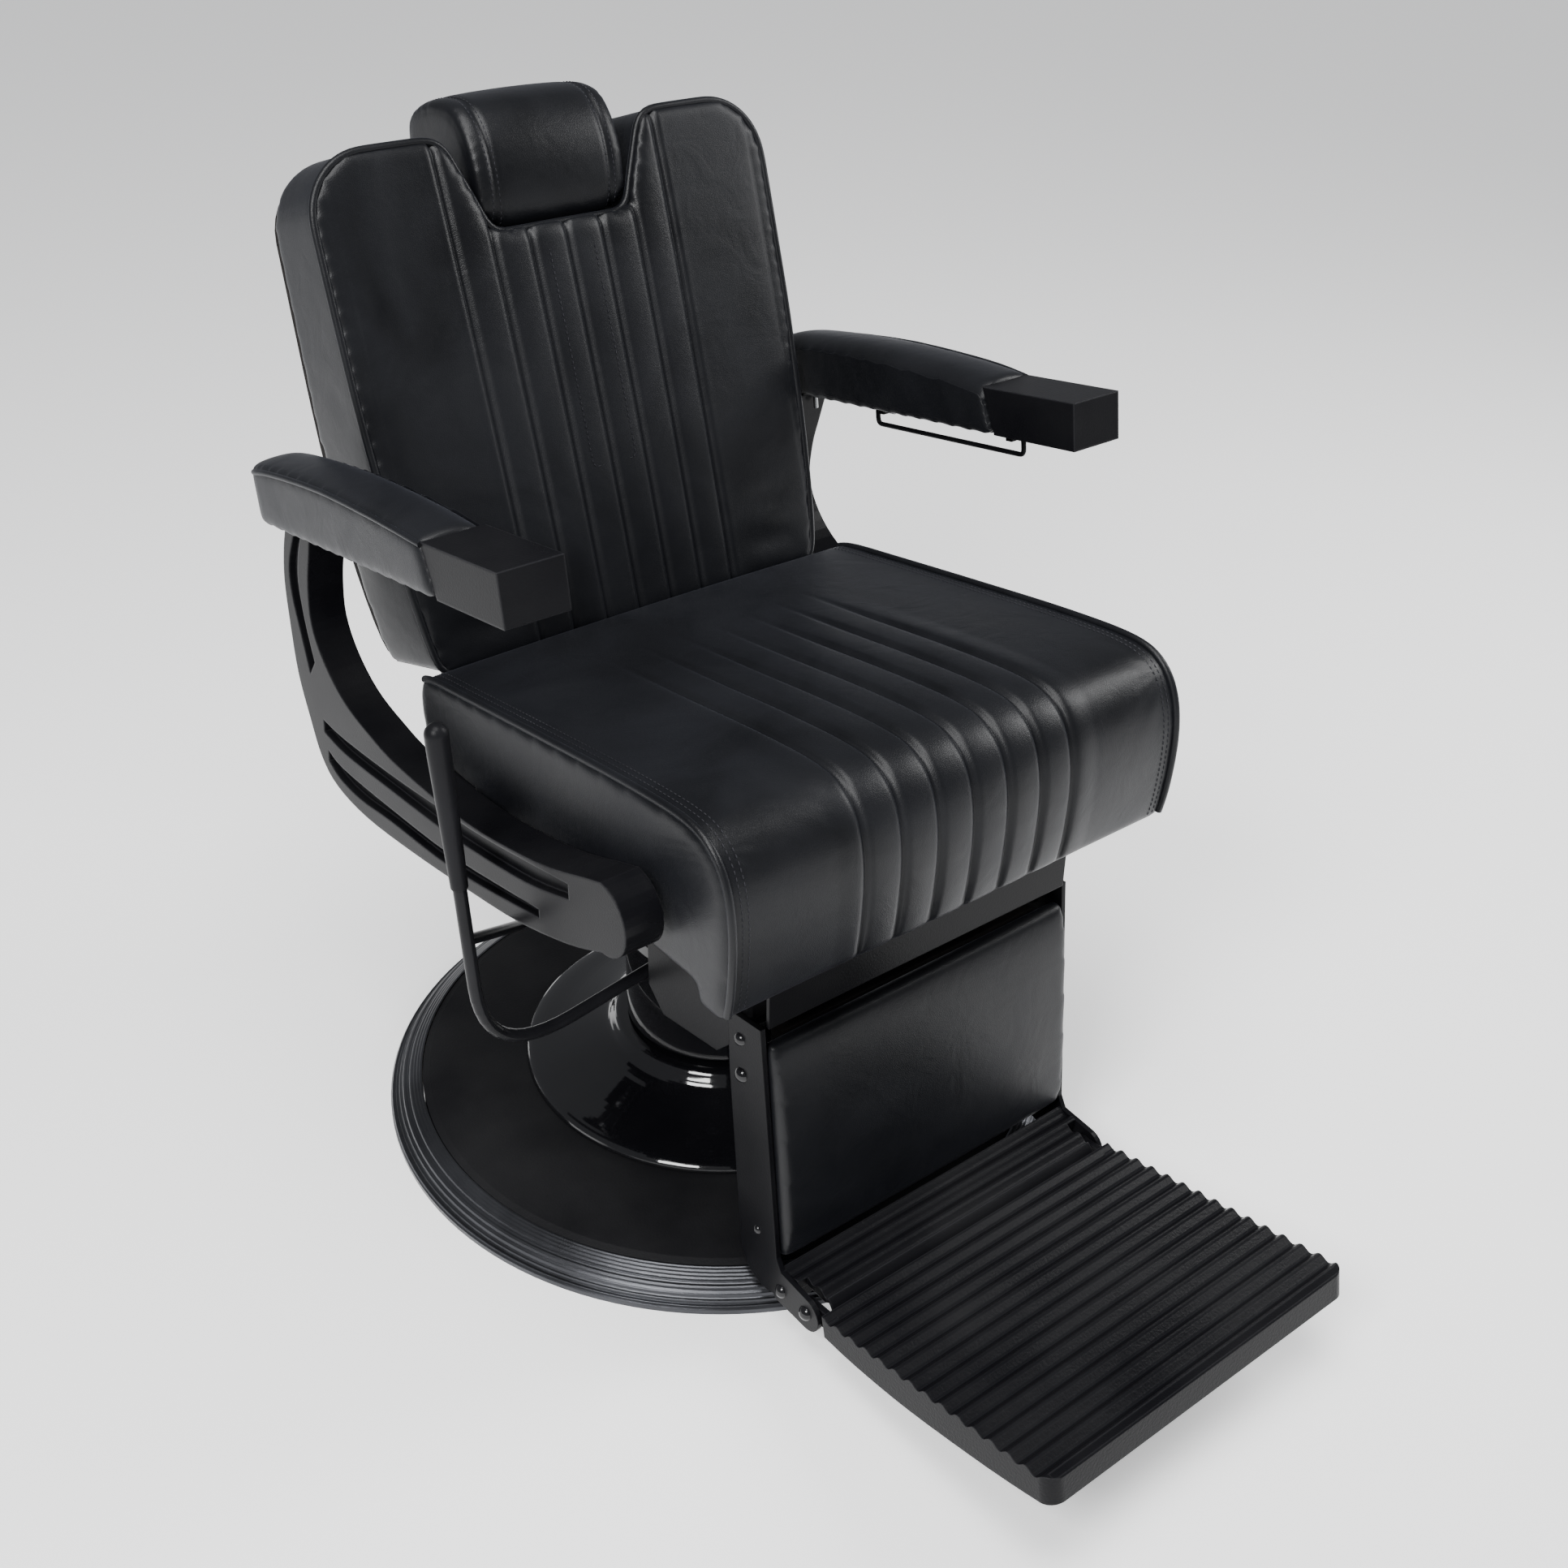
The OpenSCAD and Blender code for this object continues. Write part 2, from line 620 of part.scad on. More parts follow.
module back_outline(inset) {
  w = back_w/2 - inset;
  h = back_u + back_len - inset;
  n = notch_w/2 + inset;
  d = back_u + back_len - notch_d - inset;
  polygon(concat(
    smooth_open([[-w + 40, back_u + inset], [-w + 20, back_u + inset + 4],
                 [-w + 8, back_u + 90], [-w + 1, back_u + 220],
                 [-w, back_u + back_len - 120]], 4),
    arc([-w + 56, h - 56], 56, 180, 92, 8),
    arc([-n - 34, h - 22], 22, 88, 8, 6),
    arc([-n + 28, d + 20], 20, 188, 270, 5),
    arc([n - 28, d + 20], 20, -90, -8, 5),
    arc([n + 34, h - 22], 22, 172, 92, 6),
    arc([w - 56, h - 56], 56, 88, 0, 8),
    smooth_open([[w, back_u + back_len - 120], [w - 1, back_u + 220],
                 [w - 8, back_u + 90], [w - 20, back_u + inset + 4],
                 [w - 40, back_u + inset]], 4)));
}
// Side view of the padded body: square to the face in front, tapering behind.
module back_body(front, skin) {
  h = back_u + back_len + 5;
  y0 = -back_n + back_low_t - skin;
  y1 = -back_n + back_top_t - skin;
  translate([-back_w, 0, 0]) rotate([90, 0, 90]) linear_extrude(2*back_w)
    polygon([[front, back_u], [y0, back_u], [y0, back_u + 175],
             [y1, h], [front, h]]);
}
module back_slab(inset) {
  rotate([90, 0, 0]) translate([0, 0, -200]) linear_extrude(400) back_outline(inset);
}

guide_w = 46;
guide_t = 18;
guide_y = 16;                          // how far the post is behind the axis
module guide_space(g) {
  translate([-guide_w/2 - g, guide_y - guide_t/2 - g, back_u + 150])
    cube([guide_w + 2*g, guide_t + 2*g, back_len]);
}
module back_cushion() {
  color("black") on_back() difference() {
    intersection() {
      back_body(-back_n, 14);
      back_slab(0);
    }
    guide_space(0.3);
  }
}
module back_board() {
  color("burlywood") on_back() intersection() {
    difference() {
      back_body(0, 0);
      back_body(-1, 13.7);
    }
    back_slab(5);
  }
}

module recline_bushes() {
  color("goldenrod") both_sides()
    tube_x(back_hinge, 15, 11 + fit, cheek_x - 2, cheek_x + cheek_t + 2);
}

// Shaft with a double crank at the middle for the lock rod, and a crank with
// a stud at each side for the leg rest's link bars.
module crank_arm(x0) {
  side(x0, x0 + 6) union() {
    translate(back_hinge) circle(20);
    translate(lock_rear) circle(13);
    polygon([back_hinge + [-15, 0], back_hinge + [15, 0], lock_rear + [11, 0],
             lock_rear - [11, 0]]);
  }
}
module recline_shaft() {
  color("silver") union() {
    rod_x(back_hinge, 11, -cheek_x - cheek_t - 12, cheek_x + cheek_t + 12);
    for (x = [2 - link_x, -15, 9, link_x - 8]) crank_arm(x);
    rod_x(lock_rear, 6, -12, 12);
    for (s = [-1, 1]) rod_x(lock_rear, 6, s*(link_x + 2) - 6, s*(link_x + 2) + 6);
  }
}

// Steel plates from the shaft up to the backrest board.
module back_brackets() {
  x0 = cheek_x + cheek_t + 3;
  color("black") both_sides() difference() {
    union() {
      on_back() side(x0, x0 + 6) union() {
        circle(22);
        polygon([[-20, 8], [21, 4], [46, back_u - 10], [46, back_u - 4], [-20, back_u - 4]]);
      }
      on_back() translate([x0 - 30, -20, back_u - 5])
        cube([60, 25 - back_n + back_low_t, 5]);
      on_back() translate([x0 - 30, -back_n + back_low_t, back_u - 5]) cube([60, 5, 110]);
    }
    rod_x(back_hinge, 11, x0 - 1, x0 + 7);
  }
}

// ---- headrest ------------------------------------------------------------------

module headrest_guide() {
  color("black") on_back() difference() {
    translate([-guide_w/2, guide_y - guide_t/2, back_u + 152])
      cube([guide_w, guide_t, back_len - notch_d - 152]);
    translate([-guide_w/2 + 3, guide_y - guide_t/2 + 3, back_u + 151])
      cube([guide_w - 6, guide_t - 6, back_len]);
  }
}
module headrest_liner() {
  color("white") on_back() for (u = [back_u + 170, back_u + back_len - notch_d - 62])
    difference() {
      translate([-guide_w/2 + 3, guide_y - guide_t/2 + 3, u])
        cube([guide_w - 6, guide_t - 6, 60]);
      translate([-15 - fit, guide_y - 4 - fit, u - 1]) cube([30 + 2*fit, 8 + 2*fit, 62]);
    }
}
module headrest_post() {
  color("silver") on_back() union() {
    translate([-15, guide_y - 4, back_u + 158]) cube([30, 8, back_len - 158]);
    translate([-34, guide_y - 4, back_u + back_len - 40]) cube([68, 8, 56]);
  }
}

// Thick pad that sits in the notch and rolls over the top of the backrest.
head_w = notch_w - 2*soft_gap - 10;
module headrest_pad() {
  top = back_u + back_len + 35;
  bot = back_u + back_len - notch_d + 9;
  color("black") on_back() difference() {
    intersection() {
      translate([-head_w/2, 0, 0]) rotate([90, 0, 90]) linear_extrude(head_w)
        polygon(smooth([[10, bot], [-26, bot - 1], [-41, bot + 10], [-48, bot + 40],
                        [-46, bot + 72], [-32, top - 14], [-6, top - 2], [30, top],
                        [56, top - 8], [66, top - 28], [58, top - 50],
                        [44, bot + 44], [34, bot + 12]], 4));
      rotate([90, 0, 0]) translate([0, 0, -150]) linear_extrude(300) polygon(concat(
        arc([-head_w/2 + 26, bot + 25], 26, 180, 270, 8),
        arc([head_w/2 - 26, bot + 25], 26, -90, 0, 8),
        [[head_w/2, top + 10], [-head_w/2, top + 10]]));
    }
    translate([-34.2, guide_y - 4.2, back_u + back_len - 40.2]) cube([68.4, 8.4, 56.4]);
    translate([-15.2, guide_y - 4.2, back_u]) cube([30.4, 8.4, back_len]);
  }
}

// ---- recline lock --------------------------------------------------------------

// Lock frame of reference: along the cylinder, from front pivot to rear pin.
lock_v = lock_rear - lock_front;
lock_len = norm(lock_v);
lock_a = atan2(lock_v[1], lock_v[0]);
module on_lock() {
  translate([0, lock_front[0], lock_front[1]]) rotate([lock_a, 0, 0])
    rotate([-90, 0, 0]) children();
}
module lock_cylinder() {
  color("black") difference() {
    union() {
      on_lock() cylinder(r = 15, h = 150);
      rod_x(lock_front, 17, -13, 13);
    }
    on_lock() translate([0, 0, 26]) cylinder(r = 11, h = 112);
    on_lock() translate([0, 0, 130]) cylinder(r = 5 + fit, h = 30);
    rod_x(lock_front, 6 + fit, -16, 16);
  }
}
module lock_rod() {
  color("silver") difference() {
    union() {
      on_lock() translate([0, 0, 58]) cylinder(r = 5, h = lock_len - 58 - 6);
      on_lock() translate([0, 0, 58]) cylinder(r = 11 - fit, h = 14);
      rod_x(lock_rear, 14, -8, 8);
    }
    rod_x(lock_rear, 9.5, -9, 9);
  }
}
module lock_pin() {
  color("silver") rod_x(lock_front, 6, -24, 24);
}

// ---- leg rest ------------------------------------------------------------------

module link_bar(x0) {
  n = [lock_rear[1] - link_front[1], link_front[0] - lock_rear[0]];
  w = n / norm(n) * 10;
  difference() {
    union() {
      side(x0, x0 + 6) polygon([lock_rear + w, link_front + w, link_front - w, lock_rear - w]);
      rod_x(lock_rear, 12.5, x0, x0 + 6);
      rod_x(link_front, 12.5, x0, x0 + 6);
    }
    rod_x(lock_rear, 6 + fit, x0 - 1, x0 + 7);
    rod_x(link_front, 6.4, x0 - 1, x0 + 7);
  }
}
module link_bar_left() { color("black") link_bar(link_x); }
module link_bar_right() { color("black") link_bar(-link_x - 6); }

calf_top = [-291, leg_hinge[1] + 10];  // top of the calf board
calf_dir = [-0.103, -0.9947];          // and the way it runs down
function calf(d, n) = calf_top + d*calf_dir + n*[calf_dir[1], -calf_dir[0]];
screw_up = calf(calf_len - 21.12, -21.84);   // holds the calf board
screw_low = [-326, 45];                // holds the heel tread
module leg_outline() {
  h = leg_hinge;
  polygon(concat(
    [[-248, h[1] + 22], [-293, h[1] + 27], [-319, 80], [-326, 68]],
    arc(flip_hinge, 18, 88, 272, 12), [[-318, 30]],
    arc([-300, 63], 33, -118, -6, 6), [[-250, h[1] - 38]]));
}
module leg_side_plates() {
  x1 = side_x;
  x0 = side_x - plate_t;
  color("black") union() {
    both_sides() difference() {
      side(x0, x1) leg_outline();
      rod_x(leg_hinge, 6, x0 - 1, x1 + 1);
      rod_x(link_front, 6, x0 - 1, x1 + 1);
      rod_x(flip_hinge, 5, x0 - 1, x1 + 1);
      rod_x(screw_up, 2.6, x0 - 1, x1 + 1);
      rod_x(screw_low, 4.1, x0 - 1, x1 + 1);
    }
  }
}
module leg_pivot_bolts() {
  color("black") both_sides() {
    rod_x(leg_hinge, 6 - fit, cheek_x - 2, side_x);
    translate([side_x, leg_hinge[0], leg_hinge[1]]) rotate([0, 90, 0]) dome_head(6.5);
    rod_x(link_front, 6, link_x - 1, side_x);
    rod_x(link_front, 9, link_x - 3.5, link_x - 1);
    translate([side_x, link_front[0], link_front[1]]) rotate([0, 90, 0]) dome_head(7.5);
  }
}
module leg_fixing_screws() {
  color("black") both_sides() {
    rod_x(screw_up, 2.6, side_x - plate_t - 12, side_x);
    translate([side_x, screw_up[0], screw_up[1]]) rotate([0, 90, 0]) dome_head(4.5);
    rod_x(screw_low, 4.1, side_x - plate_t - 16, side_x);
    translate([side_x, screw_low[0], screw_low[1]]) rotate([0, 90, 0]) dome_head(7);
  }
}

pad_x = side_x - plate_t - 0.4;
module calf_board() {
  color("burlywood") difference() {
    union() {
      side(-pad_x, pad_x) polygon([calf(66, -24), calf(calf_len - 2, -24),
                                   calf(calf_len - 2, -8), calf(66, -8)]);
      side(18 - cheek_x, cheek_x - 18) polygon([calf(4, -24), calf(70, -24), calf(70, -8), calf(4, -8)]);
    }
    both_sides() rod_x(screw_up, 2.6, side_x - plate_t - 13, side_x);
  }
}
module calf_pad() {
  color("black") side(-pad_x + 1.5, pad_x - 1.5)
    polygon(smooth_open([calf(6, -7.7), calf(2, 2), calf(8, 9), calf(40, 13),
                         calf(calf_len/2, 14), calf(calf_len - 40, 13),
                         calf(calf_len - 8, 9), calf(calf_len, 2),
                         calf(calf_len - 2, -7.7)], 3));
}

// Wavy top face of the treads: one rib per pitch.
rib_pitch = foot_len / foot_ribs * 0.97;
function wave(s, a) = a * cos(360 * s / rib_pitch);
function tread_pt(s, h) =
  [-384 - s*cos(foot_tilt) - h*sin(foot_tilt), 60 + s*sin(foot_tilt) - h*cos(foot_tilt)];
function heel_pt(s, h) = [-322 - s, 67 - 0.05*s - h];
module heel_tread() {
  x1 = side_x - plate_t - 0.2;
  n = 24;
  color("black") difference() {
    side(-x1, x1) polygon(concat(
      [for (k = [0:n]) let (s = 50*k/n) heel_pt(s, -wave(s, 2.6))],
      arc(flip_hinge, 21.2, 122, 176, 8), arc(flip_hinge, 18.6, 176, 134, 6),
      [heel_pt(47, 8), heel_pt(12, 8), heel_pt(12, 34), heel_pt(-2, 34)]));
    both_sides() rod_x(screw_low, 4.1, side_x - plate_t - 17, side_x);
    both_sides() translate([x1 - 11, -386, 30]) cube([14, 42, 60]);
  }
}

module flip_pins() {
  color("black") both_sides() {
    rod_x(flip_hinge, 5, side_x - plate_t - 9, side_x);
    translate([side_x, flip_hinge[0], flip_hinge[1]]) rotate([0, 90, 0]) dome_head(7.5);
  }
}

// Footplate: a ribbed tray with bowed flanges and two hinge ears.
function tread_top(n) = [for (k = [0:n]) let (s = foot_len*0.97*k/n) tread_pt(s, -wave(s, 2.6))];
module footplate() {
  x1 = side_x;
  n = foot_ribs * 8;
  lip = [tread_pt(foot_len - 1, -1.8), tread_pt(foot_len, 0)];
  color("black") difference() {
    union() {
      side(-x1 + 3, x1 - 3) polygon(concat(
        tread_top(n), [tread_pt(foot_len*0.97, 7), tread_pt(0, 7)]));
      both_sides() side(x1 - 6, x1) polygon(concat(
        tread_top(n), lip,
        smooth_open([tread_pt(foot_len, 24), tread_pt(foot_len*0.75, 30),
                     tread_pt(foot_len*0.4, 32), tread_pt(foot_len*0.15, 27),
                     tread_pt(0, 20)], 4)));
      side(-x1 + 3, x1 - 3) polygon(concat(
        [tread_pt(foot_len*0.97, 5), tread_pt(foot_len*0.97, -2)], lip,
        [tread_pt(foot_len, 24), tread_pt(foot_len - 7, 24), tread_pt(foot_len - 7, 5)]));
      both_sides() side(x1 - 18, x1 - 3) polygon([
        tread_pt(foot_len - 18, 5), tread_pt(foot_len - 1, 5),
        tread_pt(foot_len - 1, 24), tread_pt(foot_len - 18, 26)]);
      both_sides() side(x1 - plate_t - 7, x1 - plate_t - 1) union() {
        translate(flip_hinge) circle(11);
        polygon([flip_hinge + [0, 10], tread_pt(2, 1), tread_pt(2, 18),
                 flip_hinge + [0, -10]]);
      }
      both_sides() side(x1 - plate_t - 7, x1) polygon([tread_pt(0.5, 1), tread_pt(8, 1),
                                                       tread_pt(8, 19), tread_pt(0.5, 18)]);
    }
    both_sides() rod_x(flip_hinge, 5 + fit, x1 - plate_t - 9, x1);
    both_sides() translate([x1, tread_pt(foot_len, 0)[0], tread_pt(foot_len, 0)[1]])
      rotate([-foot_tilt, 0, 0]) difference() {
        translate([-14, -1, -60]) cube([16, 15, 100]);
        translate([-14, 14, -61]) cylinder(r = 14, h = 102);
      }
  }
}

// ---- output --------------------------------------------------------------------

base_disc();
base_trim_ring();
base_foot_ring();
bell_cover();
pump_cylinder();
cylinder_bolts();
ram_guide_bush();
ram_wiper_seal();
ram();
ram_piston_seal();
swivel_thrust_washer();
swivel_bush();
pump_head();
mount_plate();
mount_bolts();
column_sleeve();
pump_plunger();
plunger_spring();
lever_shaft();
pump_lever();
lever_grip();
underframe();
arm_brackets();
arm_bracket_bolts();
arm_frame_right();
arm_frame_left();
arm_board_right();
arm_board_left();
arm_pad_right();
arm_pad_left();
arm_cap_right();
arm_cap_left();
arm_board_screws();
bail_clips();
recline_bail();
bail_spring();
seat_board();
seat_cushion();
recline_bushes();
recline_shaft();
back_brackets();
back_board();
back_cushion();
headrest_guide();
headrest_liner();
headrest_post();
headrest_pad();
lock_cylinder();
lock_rod();
lock_pin();
link_bar_right();
link_bar_left();
leg_side_plates();
leg_pivot_bolts();
leg_fixing_screws();
calf_board();
calf_pad();
heel_tread();
flip_pins();
footplate();
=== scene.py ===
import math
import bpy
import bmesh
import numpy as np
from mathutils import Matrix, Vector
from mathutils.bvhtree import BVHTree


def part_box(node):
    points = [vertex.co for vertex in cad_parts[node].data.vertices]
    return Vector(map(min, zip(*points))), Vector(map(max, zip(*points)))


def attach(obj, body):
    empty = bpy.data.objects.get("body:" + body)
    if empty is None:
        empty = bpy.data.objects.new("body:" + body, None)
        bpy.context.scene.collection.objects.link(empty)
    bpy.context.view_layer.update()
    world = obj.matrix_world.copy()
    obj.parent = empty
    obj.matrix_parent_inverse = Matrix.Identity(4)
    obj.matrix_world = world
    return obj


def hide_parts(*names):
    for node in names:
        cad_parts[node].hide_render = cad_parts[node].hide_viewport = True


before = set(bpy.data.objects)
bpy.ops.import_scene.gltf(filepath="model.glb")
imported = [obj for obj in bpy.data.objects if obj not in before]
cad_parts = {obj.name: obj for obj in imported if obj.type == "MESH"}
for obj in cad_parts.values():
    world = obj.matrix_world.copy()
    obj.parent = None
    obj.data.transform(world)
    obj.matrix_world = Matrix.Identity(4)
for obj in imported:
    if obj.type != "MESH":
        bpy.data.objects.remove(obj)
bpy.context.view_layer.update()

# ---- Base plate, trim ring and foot --------------------------------------------
# A heavy cast disc stands flat on the floor, with a turned steel ring round its
# rim. The deck is brushed with matte black paint; the ring is left darker and
# worn, with fine turning marks. A rubber ring under the disc grips the floor.

def painted(name, dark, light, rough, metal=0.0, grain=(900.0, 0.06), coat=0.0,
            edge=0.0012, cloud=9.0, stretch=(1, 1, 1), coat_rough=0.1, gleam=0.08):
    """A finish of two close tones clouded together, over a fine grain."""
    mat = bpy.data.materials.new(name)
    mat.use_nodes = True
    tree = mat.node_tree
    new, link = tree.nodes.new, tree.links.new
    shader = tree.nodes["Principled BSDF"]
    shader.inputs["Metallic"].default_value = metal
    shader.inputs["Specular IOR Level"].default_value = gleam
    shader.inputs["Coat Weight"].default_value = coat
    shader.inputs["Coat Roughness"].default_value = coat_rough
    place = new("ShaderNodeTexCoord")
    scale = new("ShaderNodeMapping")
    scale.inputs["Scale"].default_value = stretch
    link(place.outputs["Object"], scale.inputs["Vector"])
    clouds = new("ShaderNodeTexNoise")
    clouds.inputs["Scale"].default_value = cloud
    clouds.inputs["Detail"].default_value = 6
    link(scale.outputs[0], clouds.inputs["Vector"])
    tone = new("ShaderNodeValToRGB")
    tone.color_ramp.elements[0].position = 0.35
    tone.color_ramp.elements[1].position = 0.68
    tone.color_ramp.elements[0].color = (*dark, 1)
    tone.color_ramp.elements[1].color = (*light, 1)
    link(clouds.outputs[0], tone.inputs[0])
    link(tone.outputs[0], shader.inputs["Base Color"])
    haze = new("ShaderNodeMapRange")
    haze.inputs["To Min"].default_value = rough[0]
    haze.inputs["To Max"].default_value = rough[1]
    haze.inputs["From Min"].default_value = 0.3
    haze.inputs["From Max"].default_value = 0.7
    link(clouds.outputs[0], haze.inputs[0])
    link(haze.outputs[0], shader.inputs["Roughness"])
    fine = new("ShaderNodeTexNoise")
    fine.inputs["Scale"].default_value = grain[0]
    fine.inputs["Detail"].default_value = 2
    link(scale.outputs[0], fine.inputs["Vector"])
    bump = new("ShaderNodeBump")
    bump.inputs["Strength"].default_value = grain[1]
    bump.inputs["Distance"].default_value = 0.001
    link(fine.outputs[0], bump.inputs["Height"])
    if edge:
        eased = new("ShaderNodeBevel")
        eased.inputs["Radius"].default_value = edge
        link(eased.outputs[0], bump.inputs["Normal"])
    link(bump.outputs[0], shader.inputs["Normal"])
    return mat


def dress(mat, *nodes):
    """Gives CAD nodes a finish."""
    for name in nodes:
        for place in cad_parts[name].material_slots:
            place.material = mat


deck_paint = painted("deck_paint", (0.004, 0.004, 0.005), (0.010, 0.010, 0.011),
                     (0.55, 0.72), grain=(420.0, 0.25), edge=0.001, gleam=0.2)
dress(deck_paint, "base_disc")

ring_steel = painted("ring_steel", (0.052, 0.053, 0.058), (0.082, 0.084, 0.092),
                     (0.26, 0.36), metal=0.9, grain=(700.0, 0.12), edge=0.0008)
turned = ring_steel.node_tree
turning = turned.nodes.new("ShaderNodeTexWave")
turning.wave_type = "RINGS"
turning.rings_direction = "Z"
turning.inputs["Scale"].default_value = 95.0
turning.inputs["Distortion"].default_value = 0.6
marks = turned.nodes.new("ShaderNodeBump")
marks.inputs["Strength"].default_value = 0.35
marks.inputs["Distance"].default_value = 0.0006
turned.links.new(turned.nodes["Texture Coordinate"].outputs["Object"], turning.inputs["Vector"])
turned.links.new(turning.outputs[1], marks.inputs["Height"])
turned.links.new(turned.nodes["Bump"].outputs[0], marks.inputs["Normal"])
turned.links.new(marks.outputs[0], turned.nodes["Principled BSDF"].inputs["Normal"])
dress(ring_steel, "base_trim_ring")

seal_rubber = painted("seal_rubber", (0.010, 0.010, 0.010), (0.020, 0.020, 0.020),
                      (0.7, 0.85), grain=(600.0, 0.2), edge=0)
dress(seal_rubber, "base_foot_ring", "ram_wiper_seal", "ram_piston_seal")

# ---- Bell cover and column sleeve ------------------------------------------------
# Two spun steel covers, stove-enamelled deep gloss black, hide the pump. The bell
# sits on the disc over the cylinder's flange, and the sleeve hangs from the pump
# head and rises with the seat.

gloss_enamel = painted("gloss_enamel", (0.003, 0.003, 0.004), (0.006, 0.006, 0.007),
                       (0.05, 0.10), grain=(60.0, 0.015), coat=0.7, edge=0.002,
                       coat_rough=0.03, gleam=0.4)
dress(gloss_enamel, "bell_cover", "column_sleeve")

# ---- Hydraulic pump, ram and swivel ------------------------------------------------
# An iron cylinder bolted to the disc guides a chromed ram through a bronze bush and
# a wiper seal. The pump head turns on the ram's spigot in a second bronze bush, and
# a plunger with a return spring feeds the oil.

cast_iron = painted("cast_iron", (0.010, 0.010, 0.011), (0.022, 0.022, 0.024),
                    (0.42, 0.60), grain=(260.0, 0.35), edge=0.0015)
dress(cast_iron, "pump_cylinder", "pump_head")
hard_chrome = painted("hard_chrome", (0.52, 0.53, 0.55), (0.62, 0.63, 0.65),
                      (0.06, 0.12), metal=1.0, grain=(900.0, 0.02), stretch=(1, 1, 8))
dress(hard_chrome, "ram", "lock_rod")
bronze = painted("bronze", (0.36, 0.23, 0.09), (0.52, 0.36, 0.16),
                 (0.28, 0.42), metal=1.0, grain=(700.0, 0.08))
dress(bronze, "ram_guide_bush", "swivel_bush", "swivel_thrust_washer", "recline_bushes")
ground_steel = painted("ground_steel", (0.30, 0.30, 0.31), (0.46, 0.46, 0.48),
                       (0.22, 0.38), metal=1.0, grain=(800.0, 0.08))
dress(ground_steel, "pump_plunger", "lever_shaft", "recline_shaft", "headrest_post",
      "lock_pin")
spring_steel = painted("spring_steel", (0.20, 0.20, 0.21), (0.34, 0.34, 0.36),
                       (0.25, 0.40), metal=1.0, grain=(900.0, 0.05), edge=0)
dress(spring_steel, "plunger_spring", "bail_spring")
zinc_plate = painted("zinc_plate", (0.38, 0.39, 0.40), (0.55, 0.56, 0.56),
                     (0.25, 0.45), metal=1.0, grain=(500.0, 0.1), edge=0.0006)
dress(zinc_plate, "cylinder_bolts", "mount_bolts", "arm_bracket_bolts", "arm_board_screws")

# ---- Mount plate, underframe and linkage -------------------------------------------
# Pressed steel cheeks, brackets and bars under the seat, powder-coated satin black
# over a fine orange-peel grain. The bail, its clips and the leg rest's side plates share
# it, and the headrest's guide is lined with pale nylon.

powder_coat = painted("powder_coat", (0.004, 0.004, 0.005), (0.008, 0.008, 0.009),
                      (0.28, 0.40), grain=(520.0, 0.16), coat=0.02, edge=0.0014,
                      coat_rough=0.25)
dress(powder_coat, "mount_plate", "underframe", "arm_brackets", "back_brackets",
      "lock_cylinder", "link_bar_right", "link_bar_left", "headrest_guide",
      "bail_clips", "recline_bail", "leg_side_plates")
glide_nylon = painted("glide_nylon", (0.62, 0.62, 0.60), (0.74, 0.74, 0.71),
                      (0.45, 0.6), grain=(300.0, 0.05))
dress(glide_nylon, "headrest_liner")

# ---- Pump lever and grip -------------------------------------------------------------
# A bent steel rod with a brace, painted satin black, clamped on the cross shaft. Its
# upright end carries a slim tapered grip of moulded plastic with a ball tip.

lever_paint = painted("lever_paint", (0.006, 0.006, 0.007), (0.012, 0.012, 0.014),
                      (0.24, 0.36), grain=(380.0, 0.10), coat=0.08, coat_rough=0.2)
dress(lever_paint, "pump_lever")
grip_plastic = painted("grip_plastic", (0.007, 0.007, 0.008), (0.012, 0.012, 0.014),
                       (0.30, 0.44), grain=(1400.0, 0.12), edge=0.001)
dress(grip_plastic, "lever_grip")

# ---- Arm frames and arm caps -----------------------------------------------------------
# Two aluminium castings sweep from under the seat up behind it to the armrests, with
# channels sunk in their outer faces. A hollow cast cap closes each armrest in front.
# All are sprayed satin black, and the spray thins a little on the edges.

def worn_edges(mat, bare, amount, reach):
    """Lightens the finish where an edge stands out."""
    tree = mat.node_tree
    new, link = tree.nodes.new, tree.links.new
    shader = tree.nodes["Principled BSDF"]
    eased = new("ShaderNodeBevel")
    eased.inputs["Radius"].default_value = reach
    shape = new("ShaderNodeNewGeometry")
    lean = new("ShaderNodeVectorMath")
    lean.operation = "DOT_PRODUCT"
    link(eased.outputs[0], lean.inputs[0])
    link(shape.outputs["Normal"], lean.inputs[1])
    band = new("ShaderNodeMapRange")
    band.inputs["From Min"].default_value = 0.995
    band.inputs["From Max"].default_value = 0.80
    band.inputs["To Max"].default_value = amount
    link(lean.outputs["Value"], band.inputs[0])
    mix = new("ShaderNodeMix")
    mix.data_type = "RGBA"
    factor, color_a, color_b, color_out = 0, 6, 7, 2
    mix.inputs[color_b].default_value = (*bare, 1)
    link(band.outputs[0], mix.inputs[factor])
    link(tree.nodes["Color Ramp"].outputs[0], mix.inputs[color_a])
    link(mix.outputs[color_out], shader.inputs["Base Color"])


arm_spray = painted("arm_spray", (0.004, 0.004, 0.005), (0.008, 0.008, 0.009),
                    (0.25, 0.36), grain=(640.0, 0.14), coat=0.03, edge=0.003,
                    coat_rough=0.22, gleam=0.06)
worn_edges(arm_spray, (0.045, 0.045, 0.050), 0.5, 0.0022)
dress(arm_spray, "arm_frame_right", "arm_frame_left", "arm_cap_right", "arm_cap_left")

# ---- Arm pads ---------------------------------------------------------------------------
# Each armrest is a stained plywood board with a firm foam pad under black leather. The
# cover is pulled down over the sides, with a welt of piping along its top outer edge
# and round the rear end.

